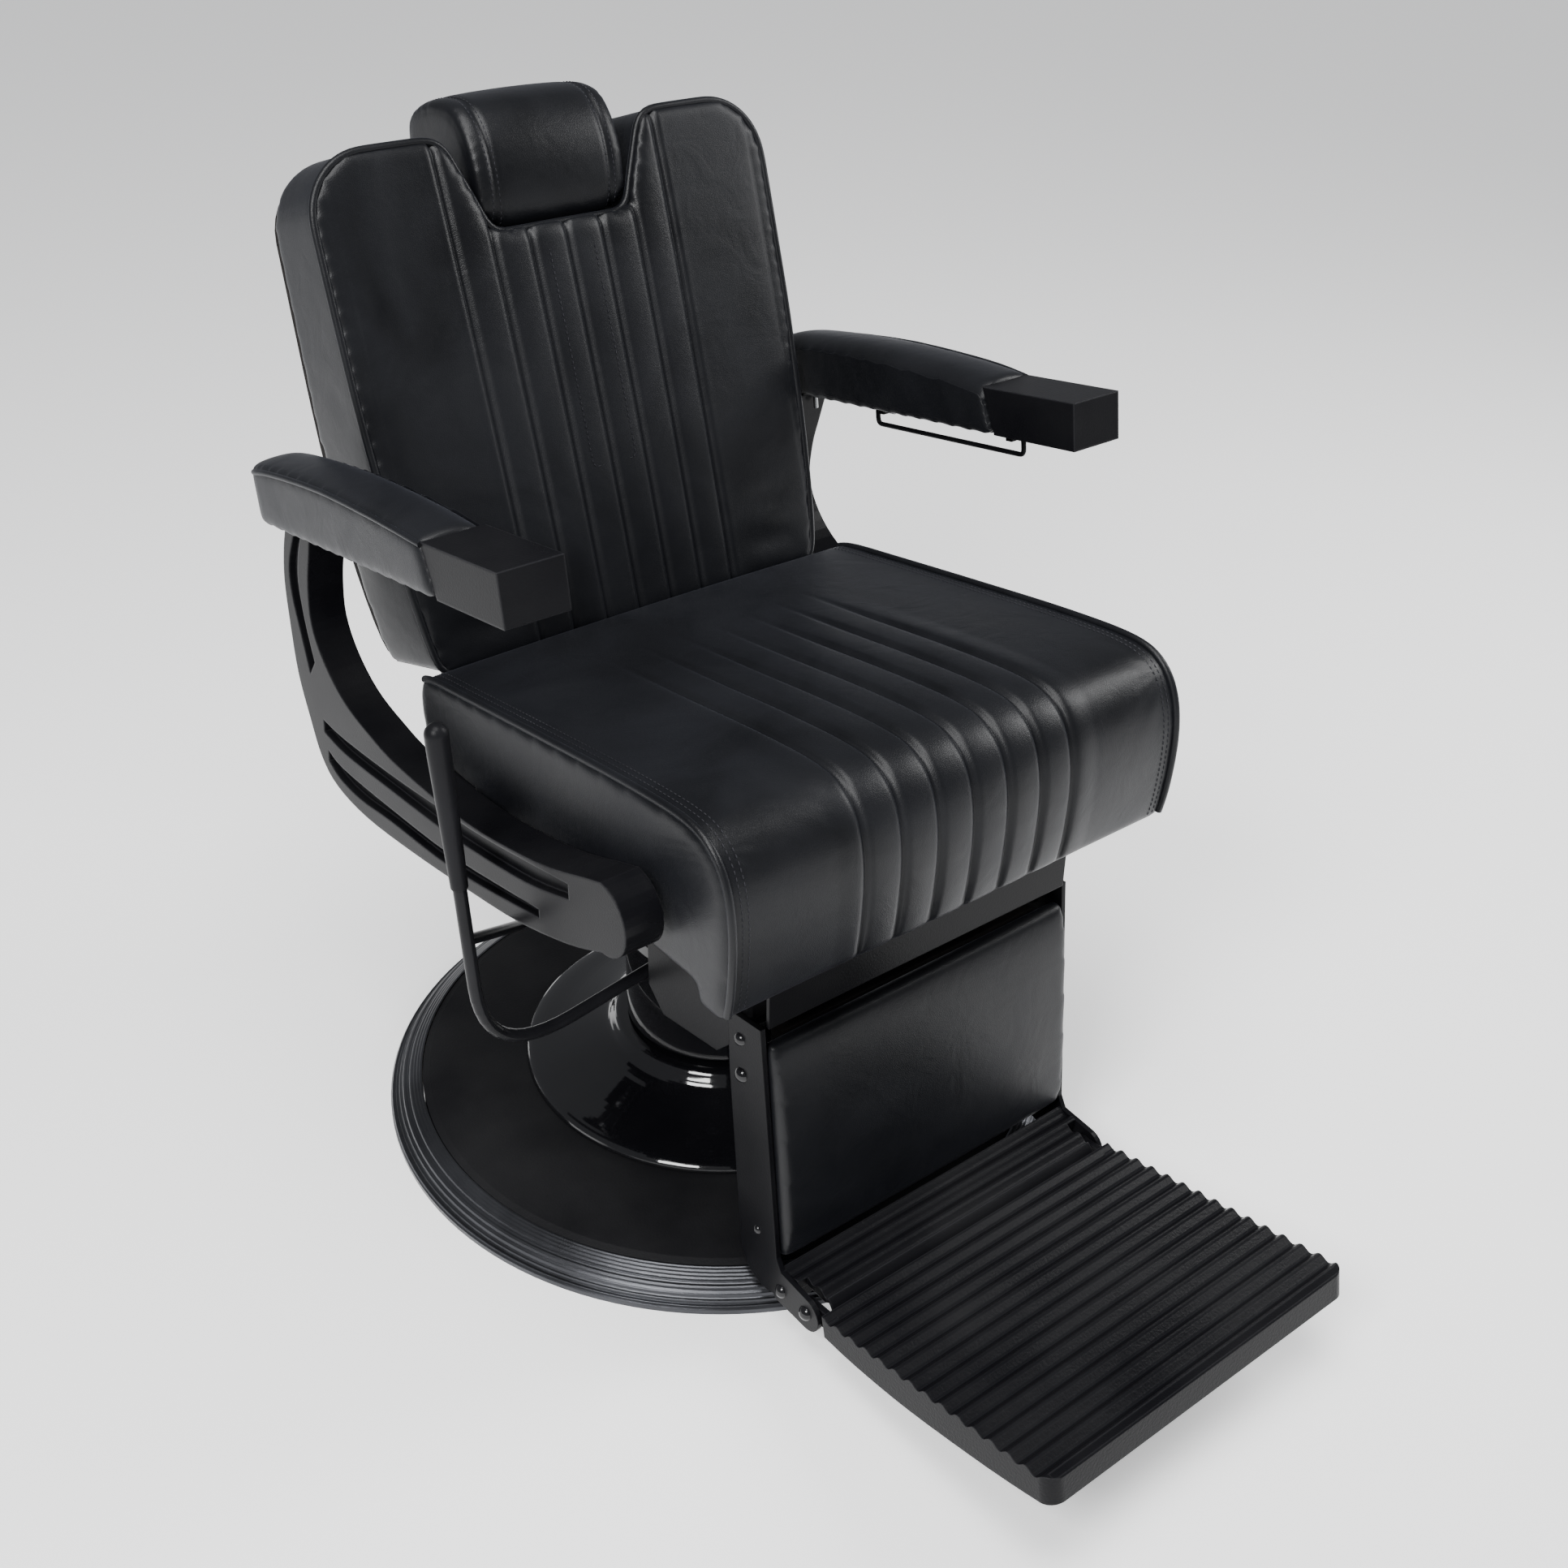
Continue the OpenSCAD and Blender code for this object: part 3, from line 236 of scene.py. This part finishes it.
plywood = painted("stained_plywood", (0.006, 0.005, 0.005), (0.016, 0.014, 0.013),
                  (0.55, 0.7), grain=(240.0, 0.3), cloud=14.0, stretch=(1, 1, 14))
dress(plywood, "arm_board_right", "arm_board_left", "seat_board", "back_board",
      "calf_board")


def leather(name, crease):
    """Black leather: pebbled grain, long soft creases and a faint cool bloom."""
    mat = bpy.data.materials.new(name)
    mat.use_nodes = True
    tree = mat.node_tree
    new, link = tree.nodes.new, tree.links.new
    shader = tree.nodes["Principled BSDF"]
    shader.inputs["Specular IOR Level"].default_value = 0.20
    shader.inputs["Sheen Weight"].default_value = 0.03
    shader.inputs["Sheen Roughness"].default_value = 0.4
    shader.inputs["Sheen Tint"].default_value = (0.75, 0.80, 1.0, 1)
    shader.inputs["Coat Weight"].default_value = 0.05
    shader.inputs["Coat Roughness"].default_value = 0.32
    place = new("ShaderNodeTexCoord")
    pores = new("ShaderNodeTexVoronoi")
    pores.feature = "DISTANCE_TO_EDGE"
    pores.inputs["Scale"].default_value = 620.0
    link(place.outputs["Object"], pores.inputs["Vector"])
    veins = new("ShaderNodeMapRange")
    veins.inputs["From Max"].default_value = 0.28
    link(pores.outputs["Distance"], veins.inputs[0])
    drift = new("ShaderNodeTexNoise")
    drift.inputs["Scale"].default_value = 7.0
    drift.inputs["Detail"].default_value = 5
    drift.inputs["Distortion"].default_value = 1.1
    link(place.outputs["Object"], drift.inputs["Vector"])
    tone = new("ShaderNodeValToRGB")
    tone.color_ramp.elements[0].position = 0.32
    tone.color_ramp.elements[1].position = 0.70
    tone.color_ramp.elements[0].color = (0.0028, 0.0030, 0.0038, 1)
    tone.color_ramp.elements[1].color = (0.0062, 0.0066, 0.0082, 1)
    link(drift.outputs[0], tone.inputs[0])
    link(tone.outputs[0], shader.inputs["Base Color"])
    shine = new("ShaderNodeMapRange")
    shine.inputs["From Min"].default_value = 0.3
    shine.inputs["From Max"].default_value = 0.7
    shine.inputs["To Min"].default_value = 0.33
    shine.inputs["To Max"].default_value = 0.45
    link(drift.outputs[0], shine.inputs[0])
    link(shine.outputs[0], shader.inputs["Roughness"])
    grain = new("ShaderNodeBump")
    grain.inputs["Strength"].default_value = 0.16
    grain.inputs["Distance"].default_value = 0.0005
    link(veins.outputs[0], grain.inputs["Height"])
    folds = new("ShaderNodeTexNoise")
    folds.inputs["Scale"].default_value = 26.0
    folds.inputs["Detail"].default_value = 3
    folds.inputs["Distortion"].default_value = 0.8
    link(place.outputs["Object"], folds.inputs["Vector"])
    soft = new("ShaderNodeBump")
    soft.inputs["Strength"].default_value = crease
    soft.inputs["Distance"].default_value = 0.004
    link(folds.outputs[0], soft.inputs["Height"])
    link(grain.outputs[0], soft.inputs["Normal"])
    link(soft.outputs[0], shader.inputs["Normal"])
    return mat


hide = leather("black_leather", 0.16)
welt_hide = leather("welt_leather", 0.05)
thread = painted("waxed_thread", (0.016, 0.016, 0.019), (0.034, 0.034, 0.039),
                 (0.5, 0.65), grain=(2400.0, 0.4), edge=0)


def added(name, data):
    """A new object in the scene."""
    obj = bpy.data.objects.new(name, data)
    bpy.context.scene.collection.objects.link(obj)
    return obj


def smooth(mesh):
    for face in mesh.polygons:
        face.use_smooth = True


def evaluated(obj):
    """A new mesh of the object's shape with its modifiers."""
    bpy.context.view_layer.update()
    graph = bpy.context.evaluated_depsgraph_get()
    return bpy.data.meshes.new_from_object(obj.evaluated_get(graph))


def bake(obj):
    """Puts the object's shape with its modifiers in its mesh's place."""
    shape = evaluated(obj)
    obj.modifiers.clear()
    old = obj.data
    obj.data = shape
    bpy.data.meshes.remove(old)


def coords(obj, kind="co"):
    """One row for each vertex: its point, or its normal."""
    rows = np.empty(len(obj.data.vertices) * 3)
    obj.data.vertices.foreach_get(kind, rows)
    return rows.reshape(-1, 3)


def normals(obj):
    return coords(obj, "normal")


def place_points(obj, pts):
    """Moves a mesh's vertices."""
    obj.data.vertices.foreach_set("co", np.ascontiguousarray(pts).reshape(-1))
    obj.data.update()


def filled_cover(name, node, cell, fill, rounds):
    """A padded cover over one CAD solid: its surface is meshed evenly, blown up a
    little, and eased so that its edges roll over as leather does on foam."""
    obj = added(name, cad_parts[node].data.copy())
    grid = obj.modifiers.new("grid", "REMESH")
    grid.mode = "VOXEL"
    grid.voxel_size = cell
    bake(obj)
    place_points(obj, coords(obj) + fill * normals(obj))
    ease = obj.modifiers.new("ease", "SMOOTH")
    ease.factor = 0.5
    ease.iterations = rounds
    finer = obj.modifiers.new("finer", "SUBSURF")
    finer.levels = 1
    finer.render_levels = 1
    bake(obj)
    obj.data.materials.clear()
    obj.data.materials.append(hide)
    smooth(obj.data)
    return obj


def rim(node, point, normal):
    """The outline of a CAD solid where a plane cuts it, as loops of points."""
    cut = bmesh.new()
    cut.from_mesh(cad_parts[node].data)
    bmesh.ops.remove_doubles(cut, verts=cut.verts, dist=1e-5)
    got = bmesh.ops.bisect_plane(cut, geom=cut.verts[:] + cut.edges[:] + cut.faces[:],
                                 plane_co=point, plane_no=normal)
    edges = [e for e in got["geom_cut"] if isinstance(e, bmesh.types.BMEdge)]
    nexts = {}
    for e in edges:
        a, b = e.verts
        nexts.setdefault(a, []).append(b)
        nexts.setdefault(b, []).append(a)
    loops, left = [], set(nexts)
    while left:
        first = min(left, key=lambda v: (round(v.co.x, 6), round(v.co.z, 6), round(v.co.y, 6)))
        path, here, last = [], first, None
        while here is not None and here in left:
            left.discard(here)
            path.append(np.array(here.co))
            ways = [v for v in nexts[here] if v is not last and v in left]
            last, here = here, (ways[0] if ways else None)
        loops.append(np.array(path))
    cut.free()
    return sorted(loops, key=len, reverse=True)


def even(path, gap, closed=False):
    """The same path with points a steady gap apart."""
    if closed:
        path = np.vstack([path, path[:1]])
    run = np.concatenate([[0], np.cumsum(np.linalg.norm(np.diff(path, axis=0), axis=1))])
    count = max(int(run[-1] / gap), 2)
    at = np.linspace(0, run[-1], count + 1)
    out = np.stack([np.interp(at, run, path[:, k]) for k in range(3)], axis=1)
    return out[:-1] if closed else out


def onto(obj, path, lift=0.0):
    """Lays a path on a cover's surface."""
    tree = BVHTree.FromPolygons([v.co for v in obj.data.vertices],
                                [p.vertices for p in obj.data.polygons])
    out = []
    for p in path:
        spot, normal, _, _ = tree.find_nearest(Vector(p))
        out.append(np.array(spot + normal * lift))
    return np.array(out)


def eased(path, rounds, closed=False):
    """The same path with its points drawn towards their neighbours."""
    path = path.copy()
    for _ in range(rounds):
        if closed:
            path = (np.roll(path, 1, 0) + 2*path + np.roll(path, -1, 0)) / 4
        else:
            path[1:-1] = (path[:-2] + 2*path[1:-1] + path[2:]) / 4
    return path


def tube(name, path, r, mat, closed):
    """A round cord along a path, as a mesh."""
    line = bpy.data.curves.new(name, "CURVE")
    line.dimensions = "3D"
    line.bevel_depth = r
    line.bevel_resolution = 3
    line.use_fill_caps = not closed
    run = line.splines.new("POLY")
    run.points.add(len(path) - 1)
    for k, p in enumerate(path):
        run.points[k].co = (*p, 1)
    run.use_cyclic_u = closed
    obj = added(name + "_line", line)
    shape = evaluated(obj)
    bpy.data.objects.remove(obj)
    piece = added(name, shape)
    shape.materials.clear()
    shape.materials.append(mat)
    smooth(shape)
    return piece


def stitching(name, path, gap, length, r):
    """A row of short raised stitches along a path."""
    spots = even(path, gap)
    verts, faces = [], []
    for a, b in zip(spots[:-1], spots[1:]):
        d = (b - a) / np.linalg.norm(b - a)
        side = np.cross(d, (0.0, 0.0, 1.0))
        if np.linalg.norm(side) < 0.3:
            side = np.cross(d, (0.0, 1.0, 0.0))
        side /= np.linalg.norm(side)
        up = np.cross(side, d)
        k = len(verts)
        for t, w in ((0.0, 0.35), (0.25, 1.0), (0.75, 1.0), (1.0, 0.35)):
            c = a + d*length*t
            verts += [c + r*w*side, c + r*w*up, c - r*w*side, c - r*w*up]
        for ring in range(3):
            for q in range(4):
                i = k + 4*ring
                faces.append((i + q, i + (q + 1) % 4, i + 4 + (q + 1) % 4, i + 4 + q))
        faces += [(k + 3, k + 2, k + 1, k), (k + 12, k + 13, k + 14, k + 15)]
    shape = bpy.data.meshes.new(name)
    shape.from_pydata([tuple(v) for v in verts], [], faces)
    shape.materials.append(thread)
    smooth(shape)
    return added(name, shape)


def welt(name, cover, path, r, body, closed=False):
    """A piping cord sewn along a cover's edge. Only the way it has to shift onto the
    cover is eased much, so the cord keeps the path's corners."""
    step, proud, shift_rounds, path_rounds = 0.006, 0.45, 40, 2
    path = even(path, step, closed)
    shift = onto(cover, path, r*proud) - path
    laid = eased(path + eased(shift, shift_rounds, closed), path_rounds, closed)
    piece = tube(name, laid, r, welt_hide, closed)
    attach(piece, body)
    return laid


def sewn_row(name, cover, path, body):
    """A row of stitches laid on a cover."""
    step, lift, gap, length, r = 0.004, 0.0002, 0.0055, 0.0036, 0.00055
    piece = stitching(name, onto(cover, even(path, step), lift), gap, length, r)
    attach(piece, body)


def soft_piece(obj, node, body):
    """Enters a cover as the look of its CAD node."""
    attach(obj, body)
    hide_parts(node)


arm_x, arm_rear_y, arm_rear_z = 0.297, 0.222, 0.631
arm_cos, arm_sin = 0.98902, 0.14781        # the armrests rise 8.5 degrees to the front
arm_half, arm_seam = 0.032, 0.0285         # the pad's half width, and its piping's


def arm_point(side, x, y, z):
    """A point given along the armrest: x outward, y forward, z square to it."""
    return (side*(arm_x + x), arm_rear_y - y*arm_cos + z*arm_sin,
            arm_rear_z + y*arm_sin + z*arm_cos)


for hand, side in (("right", -1), ("left", 1)):
    node = "arm_pad_" + hand
    pad = filled_cover(node + "_cover", node, 0.0034, 0.0005, 12)
    pts, nrm = coords(pad), normals(pad)
    out = (pts[:, 0]*side - arm_x) / arm_half
    tops = np.clip((nrm[:, 2] - 0.1) / 0.6, 0, 1)
    pts[:, 2] += tops * (0.0045*np.clip(1 - out**2, 0, 1)
                         - 0.010*np.clip(-out, 0, 1)**3)
    place_points(pad, pts)
    soft_piece(pad, node, "seat")
    edge = [arm_point(side, arm_seam, y, z) for y, z in (
        (0.280, 0.042), (0.245, 0.046), (0.210, 0.049), (0.165, 0.052), (0.120, 0.054),
        (0.080, 0.054), (0.040, 0.053), (0.000, 0.051), (-0.022, 0.048))]
    edge += [arm_point(side, arm_seam*math.cos(t), -0.022 - arm_seam*math.sin(t),
                       0.048 - 0.006*math.sin(t)) for t in np.linspace(0.15, 2.7, 14)]
    welt(node + "_piping", pad, np.array(edge), 0.0026, "seat")

# ---- Seat cushion --------------------------------------------------------------------------
# Thick moulded foam on a plywood board, under leather with a deep waterfall front.
# Seven sewn seams climb the front and fade out halfway up the seat. Piping with two
# rows of stitches beside it runs along both side edges and down the front corners.

cord, seam_width = 0.0036, 0.0032


def dip(across, middle):
    """How deep a seam pulls the leather in, 1 at its middle."""
    return np.exp(-((across - middle) / seam_width)**2)


seat = filled_cover("seat_cover", "seat_cushion", 0.0048, 0.001, 11)
pts, nrm = coords(seat), normals(seat)
seat_low, seat_high = (np.array(c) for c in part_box("seat_cushion"))
half = seat_high[0]
across = np.clip(1 - (pts[:, 0] / half)**2, 0, 1)
facing = np.clip((nrm[:, 2]*0.75 - nrm[:, 1]*0.66 - 0.15) / 0.5, 0, 1)
front = np.clip((0.04 - pts[:, 1]) / 0.20, 0, 1)
front = front*front*(3 - 2*front)
swell = 0.004 * across * facing
seams = [-0.116, -0.077, -0.038, 0.001, 0.040, 0.078, 0.115]
pitch = (seams[-1] - seams[0]) / (len(seams) - 1)
inside = np.clip((0.145 - np.abs(pts[:, 0])) / 0.02, 0, 1)
swell += facing * front * inside * 0.0014 * np.abs(np.sin(
    math.pi * (pts[:, 0] - seams[0]) / pitch))
for x in seams:
    swell -= facing * front * 0.0040 * dip(pts[:, 0], x)
for s in (-1, 1):
    corner = np.array([s*(half - 0.012), seat_low[1] + 0.022, seat_high[2] - 0.012])
    gap = pts - corner
    far = np.linalg.norm(gap, axis=1)
    turn = np.arctan2(gap[:, 2] + 0.4*gap[:, 1], -s*gap[:, 0])
    swell += (0.0002 * np.sin(11*turn) * np.exp(-(far / 0.055)**2)
              * np.clip(far / 0.02, 0, 1))
place_points(seat, pts + nrm * swell[:, None])
soft_piece(seat, "seat_cushion", "seat")
for s, hand in ((-1, "right"), (1, "left")):
    loop = even(rim("seat_cushion", (s*(half - 0.005), 0, 0), (1, 0, 0))[0], 0.004, True)
    keep = ~((loop[:, 2] < seat_low[2] + 0.004) | (loop[:, 1] > seat_high[1] - 0.003)
             | ((loop[:, 1] > seat_low[1] + 0.03) & (loop[:, 2] < seat_low[2] + 0.05)))
    gap = int(np.argmin(keep))
    loop, keep = np.roll(loop, -gap, 0), np.roll(keep, -gap)
    laid = welt("seat_piping_" + hand, seat, loop[keep], cord, "seat")
    for k, off in enumerate((0.010, 0.016)):
        row = laid + np.array([-s*off, 0, 0])
        sewn_row("seat_stitches_%s_%d" % (hand, k), seat, row, "seat")

# ---- Backrest cushion ------------------------------------------------------------------------
# A tall foam pad on its plywood board, leaning back 17 degrees, with a notch in the
# top edge for the headrest. Seven sewn seams run up its face, piping follows the
# whole outline of the face, and a row of stitches runs round the side boxing.

hinge = np.array([0, 0.168, 0.416])        # the recline shaft
lean = math.radians(17)
half_wide, mid_up, half_tall = 0.225, 0.28, 0.25
face_deep, rear_deep, boxing_row = 0.0465, 0.020, 0.0600
rise = np.array([0, math.sin(lean), math.cos(lean)])
ahead = np.array([0, -math.cos(lean), math.sin(lean)])
back = filled_cover("back_cover", "back_cushion", 0.0048, 0.001, 8)
pts, nrm = coords(back), normals(back)
up = (pts - hinge) @ rise
facing = np.clip((nrm @ ahead - 0.35) / 0.4, 0, 1)
wide = np.clip(1 - (pts[:, 0] / half_wide)**2, 0, 1)
tall = np.clip(1 - ((up - mid_up) / half_tall)**2, 0, 1)
swell = 0.007 * facing * np.sqrt(wide * tall)
inside = np.clip((0.128 - np.abs(pts[:, 0])) / 0.015, 0, 1)
fan = 0.0380 + 0.0013 * (up - 0.06) / 0.46
swell += facing * inside * 0.0015 * np.abs(np.sin(math.pi * pts[:, 0] / fan))
for i in range(-3, 4):
    swell -= facing * 0.0042 * dip(pts[:, 0], i*fan)
for s in (-1, 1):
    swell += (facing * 0.0006 * np.sin(150 * up + 3 * s)
              * np.exp(-((np.abs(pts[:, 0]) - 0.165) / 0.03)**2)
              * np.exp(-((up - 0.10) / 0.05)**2))
place_points(back, pts + nrm * swell[:, None])
soft_piece(back, "back_cushion", "back")
face_at = hinge + ahead * face_deep
outline = even(rim("back_cushion", tuple(face_at), tuple(ahead))[0], 0.005, True)
welt("back_piping", back, outline, cord, "back", True)
rear_at = hinge - ahead * rear_deep
shell = even(rim("back_cushion", tuple(rear_at), tuple(ahead))[0], 0.005, True)
sewn_row("back_stitches", back, shell + ahead*boxing_row, "back")

# ---- Headrest --------------------------------------------------------------------------------
# A thick roll of foam under leather on a flat steel post. It sits in the notch, rolls
# back over the top edge and slides up out of its guide. Double stitching closes it
# near each end.

head = filled_cover("headrest_cover", "headrest_pad", 0.0045, 0.001, 7)
pts, nrm = coords(head), normals(head)
wide = np.clip(1 - (pts[:, 0] / 0.08)**2, 0, 1)
swell = 0.005 * np.sqrt(wide)
for s in (-1, 1):
    swell -= 0.0022 * dip(pts[:, 0], s*0.062)
place_points(head, pts + nrm * swell[:, None])
soft_piece(head, "headrest_pad", "headrest")
for s, hand in ((-1, "right"), (1, "left")):
    for k, x in enumerate((0.057, 0.067)):
        loop = even(rim("headrest_pad", (s*x, 0, 0), (1, 0, 0))[0], 0.004, True)
        sewn_row("headrest_stitches_%s_%d" % (hand, k), head, loop, "headrest")

# ---- Calf pad --------------------------------------------------------------------------------
# A thin foam pad under leather on a plywood board between the leg rest's side plates.
# Its face is crowned a little and its edges are rolled.

calf = filled_cover("calf_cover", "calf_pad", 0.0045, 0.0005, 4)
pts, nrm = coords(calf), normals(calf)
low, high = (np.array(c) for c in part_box("calf_pad"))
wide = np.clip(1 - (pts[:, 0] / high[0])**2, 0, 1)
tall = np.clip(1 - ((pts[:, 2] - (low[2] + high[2])/2) / ((high[2] - low[2])/2))**2, 0, 1)
swell = 0.005 * np.sqrt(wide * tall) * np.clip((-nrm[:, 1] - 0.4) / 0.4, 0, 1)
place_points(calf, pts + nrm * swell[:, None])
soft_piece(calf, "calf_pad", "leg")

# ---- Leg rest metal, treads and footplate ------------------------------------------------------
# Steel side plates carry ribbed aluminium treads, sprayed satin black and rubbed
# brighter along the rib tops. Domed bolts and pins, gloss black, hold them.

tread_spray = painted("tread_spray", (0.004, 0.004, 0.005), (0.008, 0.008, 0.009),
                      (0.28, 0.42), grain=(420.0, 0.25), coat=0.02, coat_rough=0.25)
worn_edges(tread_spray, (0.045, 0.045, 0.050), 0.35, 0.0018)
dress(tread_spray, "heel_tread", "footplate")
bolt_black = painted("bolt_black", (0.006, 0.006, 0.007), (0.012, 0.012, 0.013),
                     (0.10, 0.18), grain=(300.0, 0.04), coat=0.6, coat_rough=0.08)
dress(bolt_black, "leg_pivot_bolts", "leg_fixing_screws", "flip_pins")

# ---- Floor, light and camera ---------------------------------------------------------------------
# A flat pale studio floor that gives off a little light of its own, three large
# softboxes and a dim, faintly blue sky. The camera stands in front of the lever side
# and looks down about 32 degrees.

floor_mat = bpy.data.materials.new("studio_floor")
floor_mat.use_nodes = True
paper = floor_mat.node_tree.nodes["Principled BSDF"]
paper.inputs["Base Color"].default_value = (0.88, 0.88, 0.88, 1)
paper.inputs["Roughness"].default_value = 0.9
paper.inputs["Specular IOR Level"].default_value = 0.1
paper.inputs["Emission Color"].default_value = (1, 1, 1, 1)
paper.inputs["Emission Strength"].default_value = 0.60
reach = 14
floor_mesh = bpy.data.meshes.new("studio_floor")
floor_mesh.from_pydata([(-reach, -reach, 0), (reach, -reach, 0), (reach, reach, 0),
                        (-reach, reach, 0)], [], [(0, 1, 2, 3)])
floor_mesh.materials.append(floor_mat)
floor = added("studio_floor", floor_mesh)

world = bpy.data.worlds.new("studio")
bpy.context.scene.world = world
world.use_nodes = True
sky = world.node_tree.nodes["Background"]
sky.inputs["Color"].default_value = (0.93, 0.95, 1.0, 1)
sky.inputs["Strength"].default_value = 0.26


def softbox(name, at, aim, size, power):
    """A soft rectangular light, aimed at a point."""
    lamp = bpy.data.lights.new(name, "AREA")
    lamp.shape = "RECTANGLE"
    lamp.size, lamp.size_y = size
    lamp.energy = power
    obj = added(name, lamp)
    obj.location = at
    obj.rotation_euler = (Vector(aim) - Vector(at)).to_track_quat("-Z", "Y").to_euler()


softbox("key_box", (-2.3, -1.2, 2.6), (0, 0, 0.5), (1.1, 1.1), 120)
softbox("side_box", (2.4, -0.9, 2.0), (0, 0, 0.6), (0.9, 1.6), 60)
softbox("top_box", (-0.6, -0.5, 3.2), (0, 0, 0.4), (1.6, 1.6), 95)

az, el, roll = math.radians(-38.81), math.radians(31.57), math.radians(0.90)
rear = Vector((math.sin(az)*math.cos(el), -math.cos(az)*math.cos(el), math.sin(el)))
right = Vector((math.cos(az), math.sin(az), 0))
upward = rear.cross(right)
turned_right = right*math.cos(roll) + upward*math.sin(roll)
turned_up = upward*math.cos(roll) - right*math.sin(roll)
camera = bpy.data.cameras.new("camera")
# the sensor's width, then the focal length and the frame's width in the same unit
sensor, distance, frame_wide = 36, 2269.45, 1932
camera.sensor_width = sensor
camera.lens = sensor * distance / frame_wide
camera.clip_end = 50
eye = added("camera", camera)
eye.matrix_world = Matrix.Translation((-0.9196, -1.2376, 1.3017)) @ Matrix((
    turned_right, turned_up, rear)).transposed().to_4x4()
bpy.context.scene.camera = eye
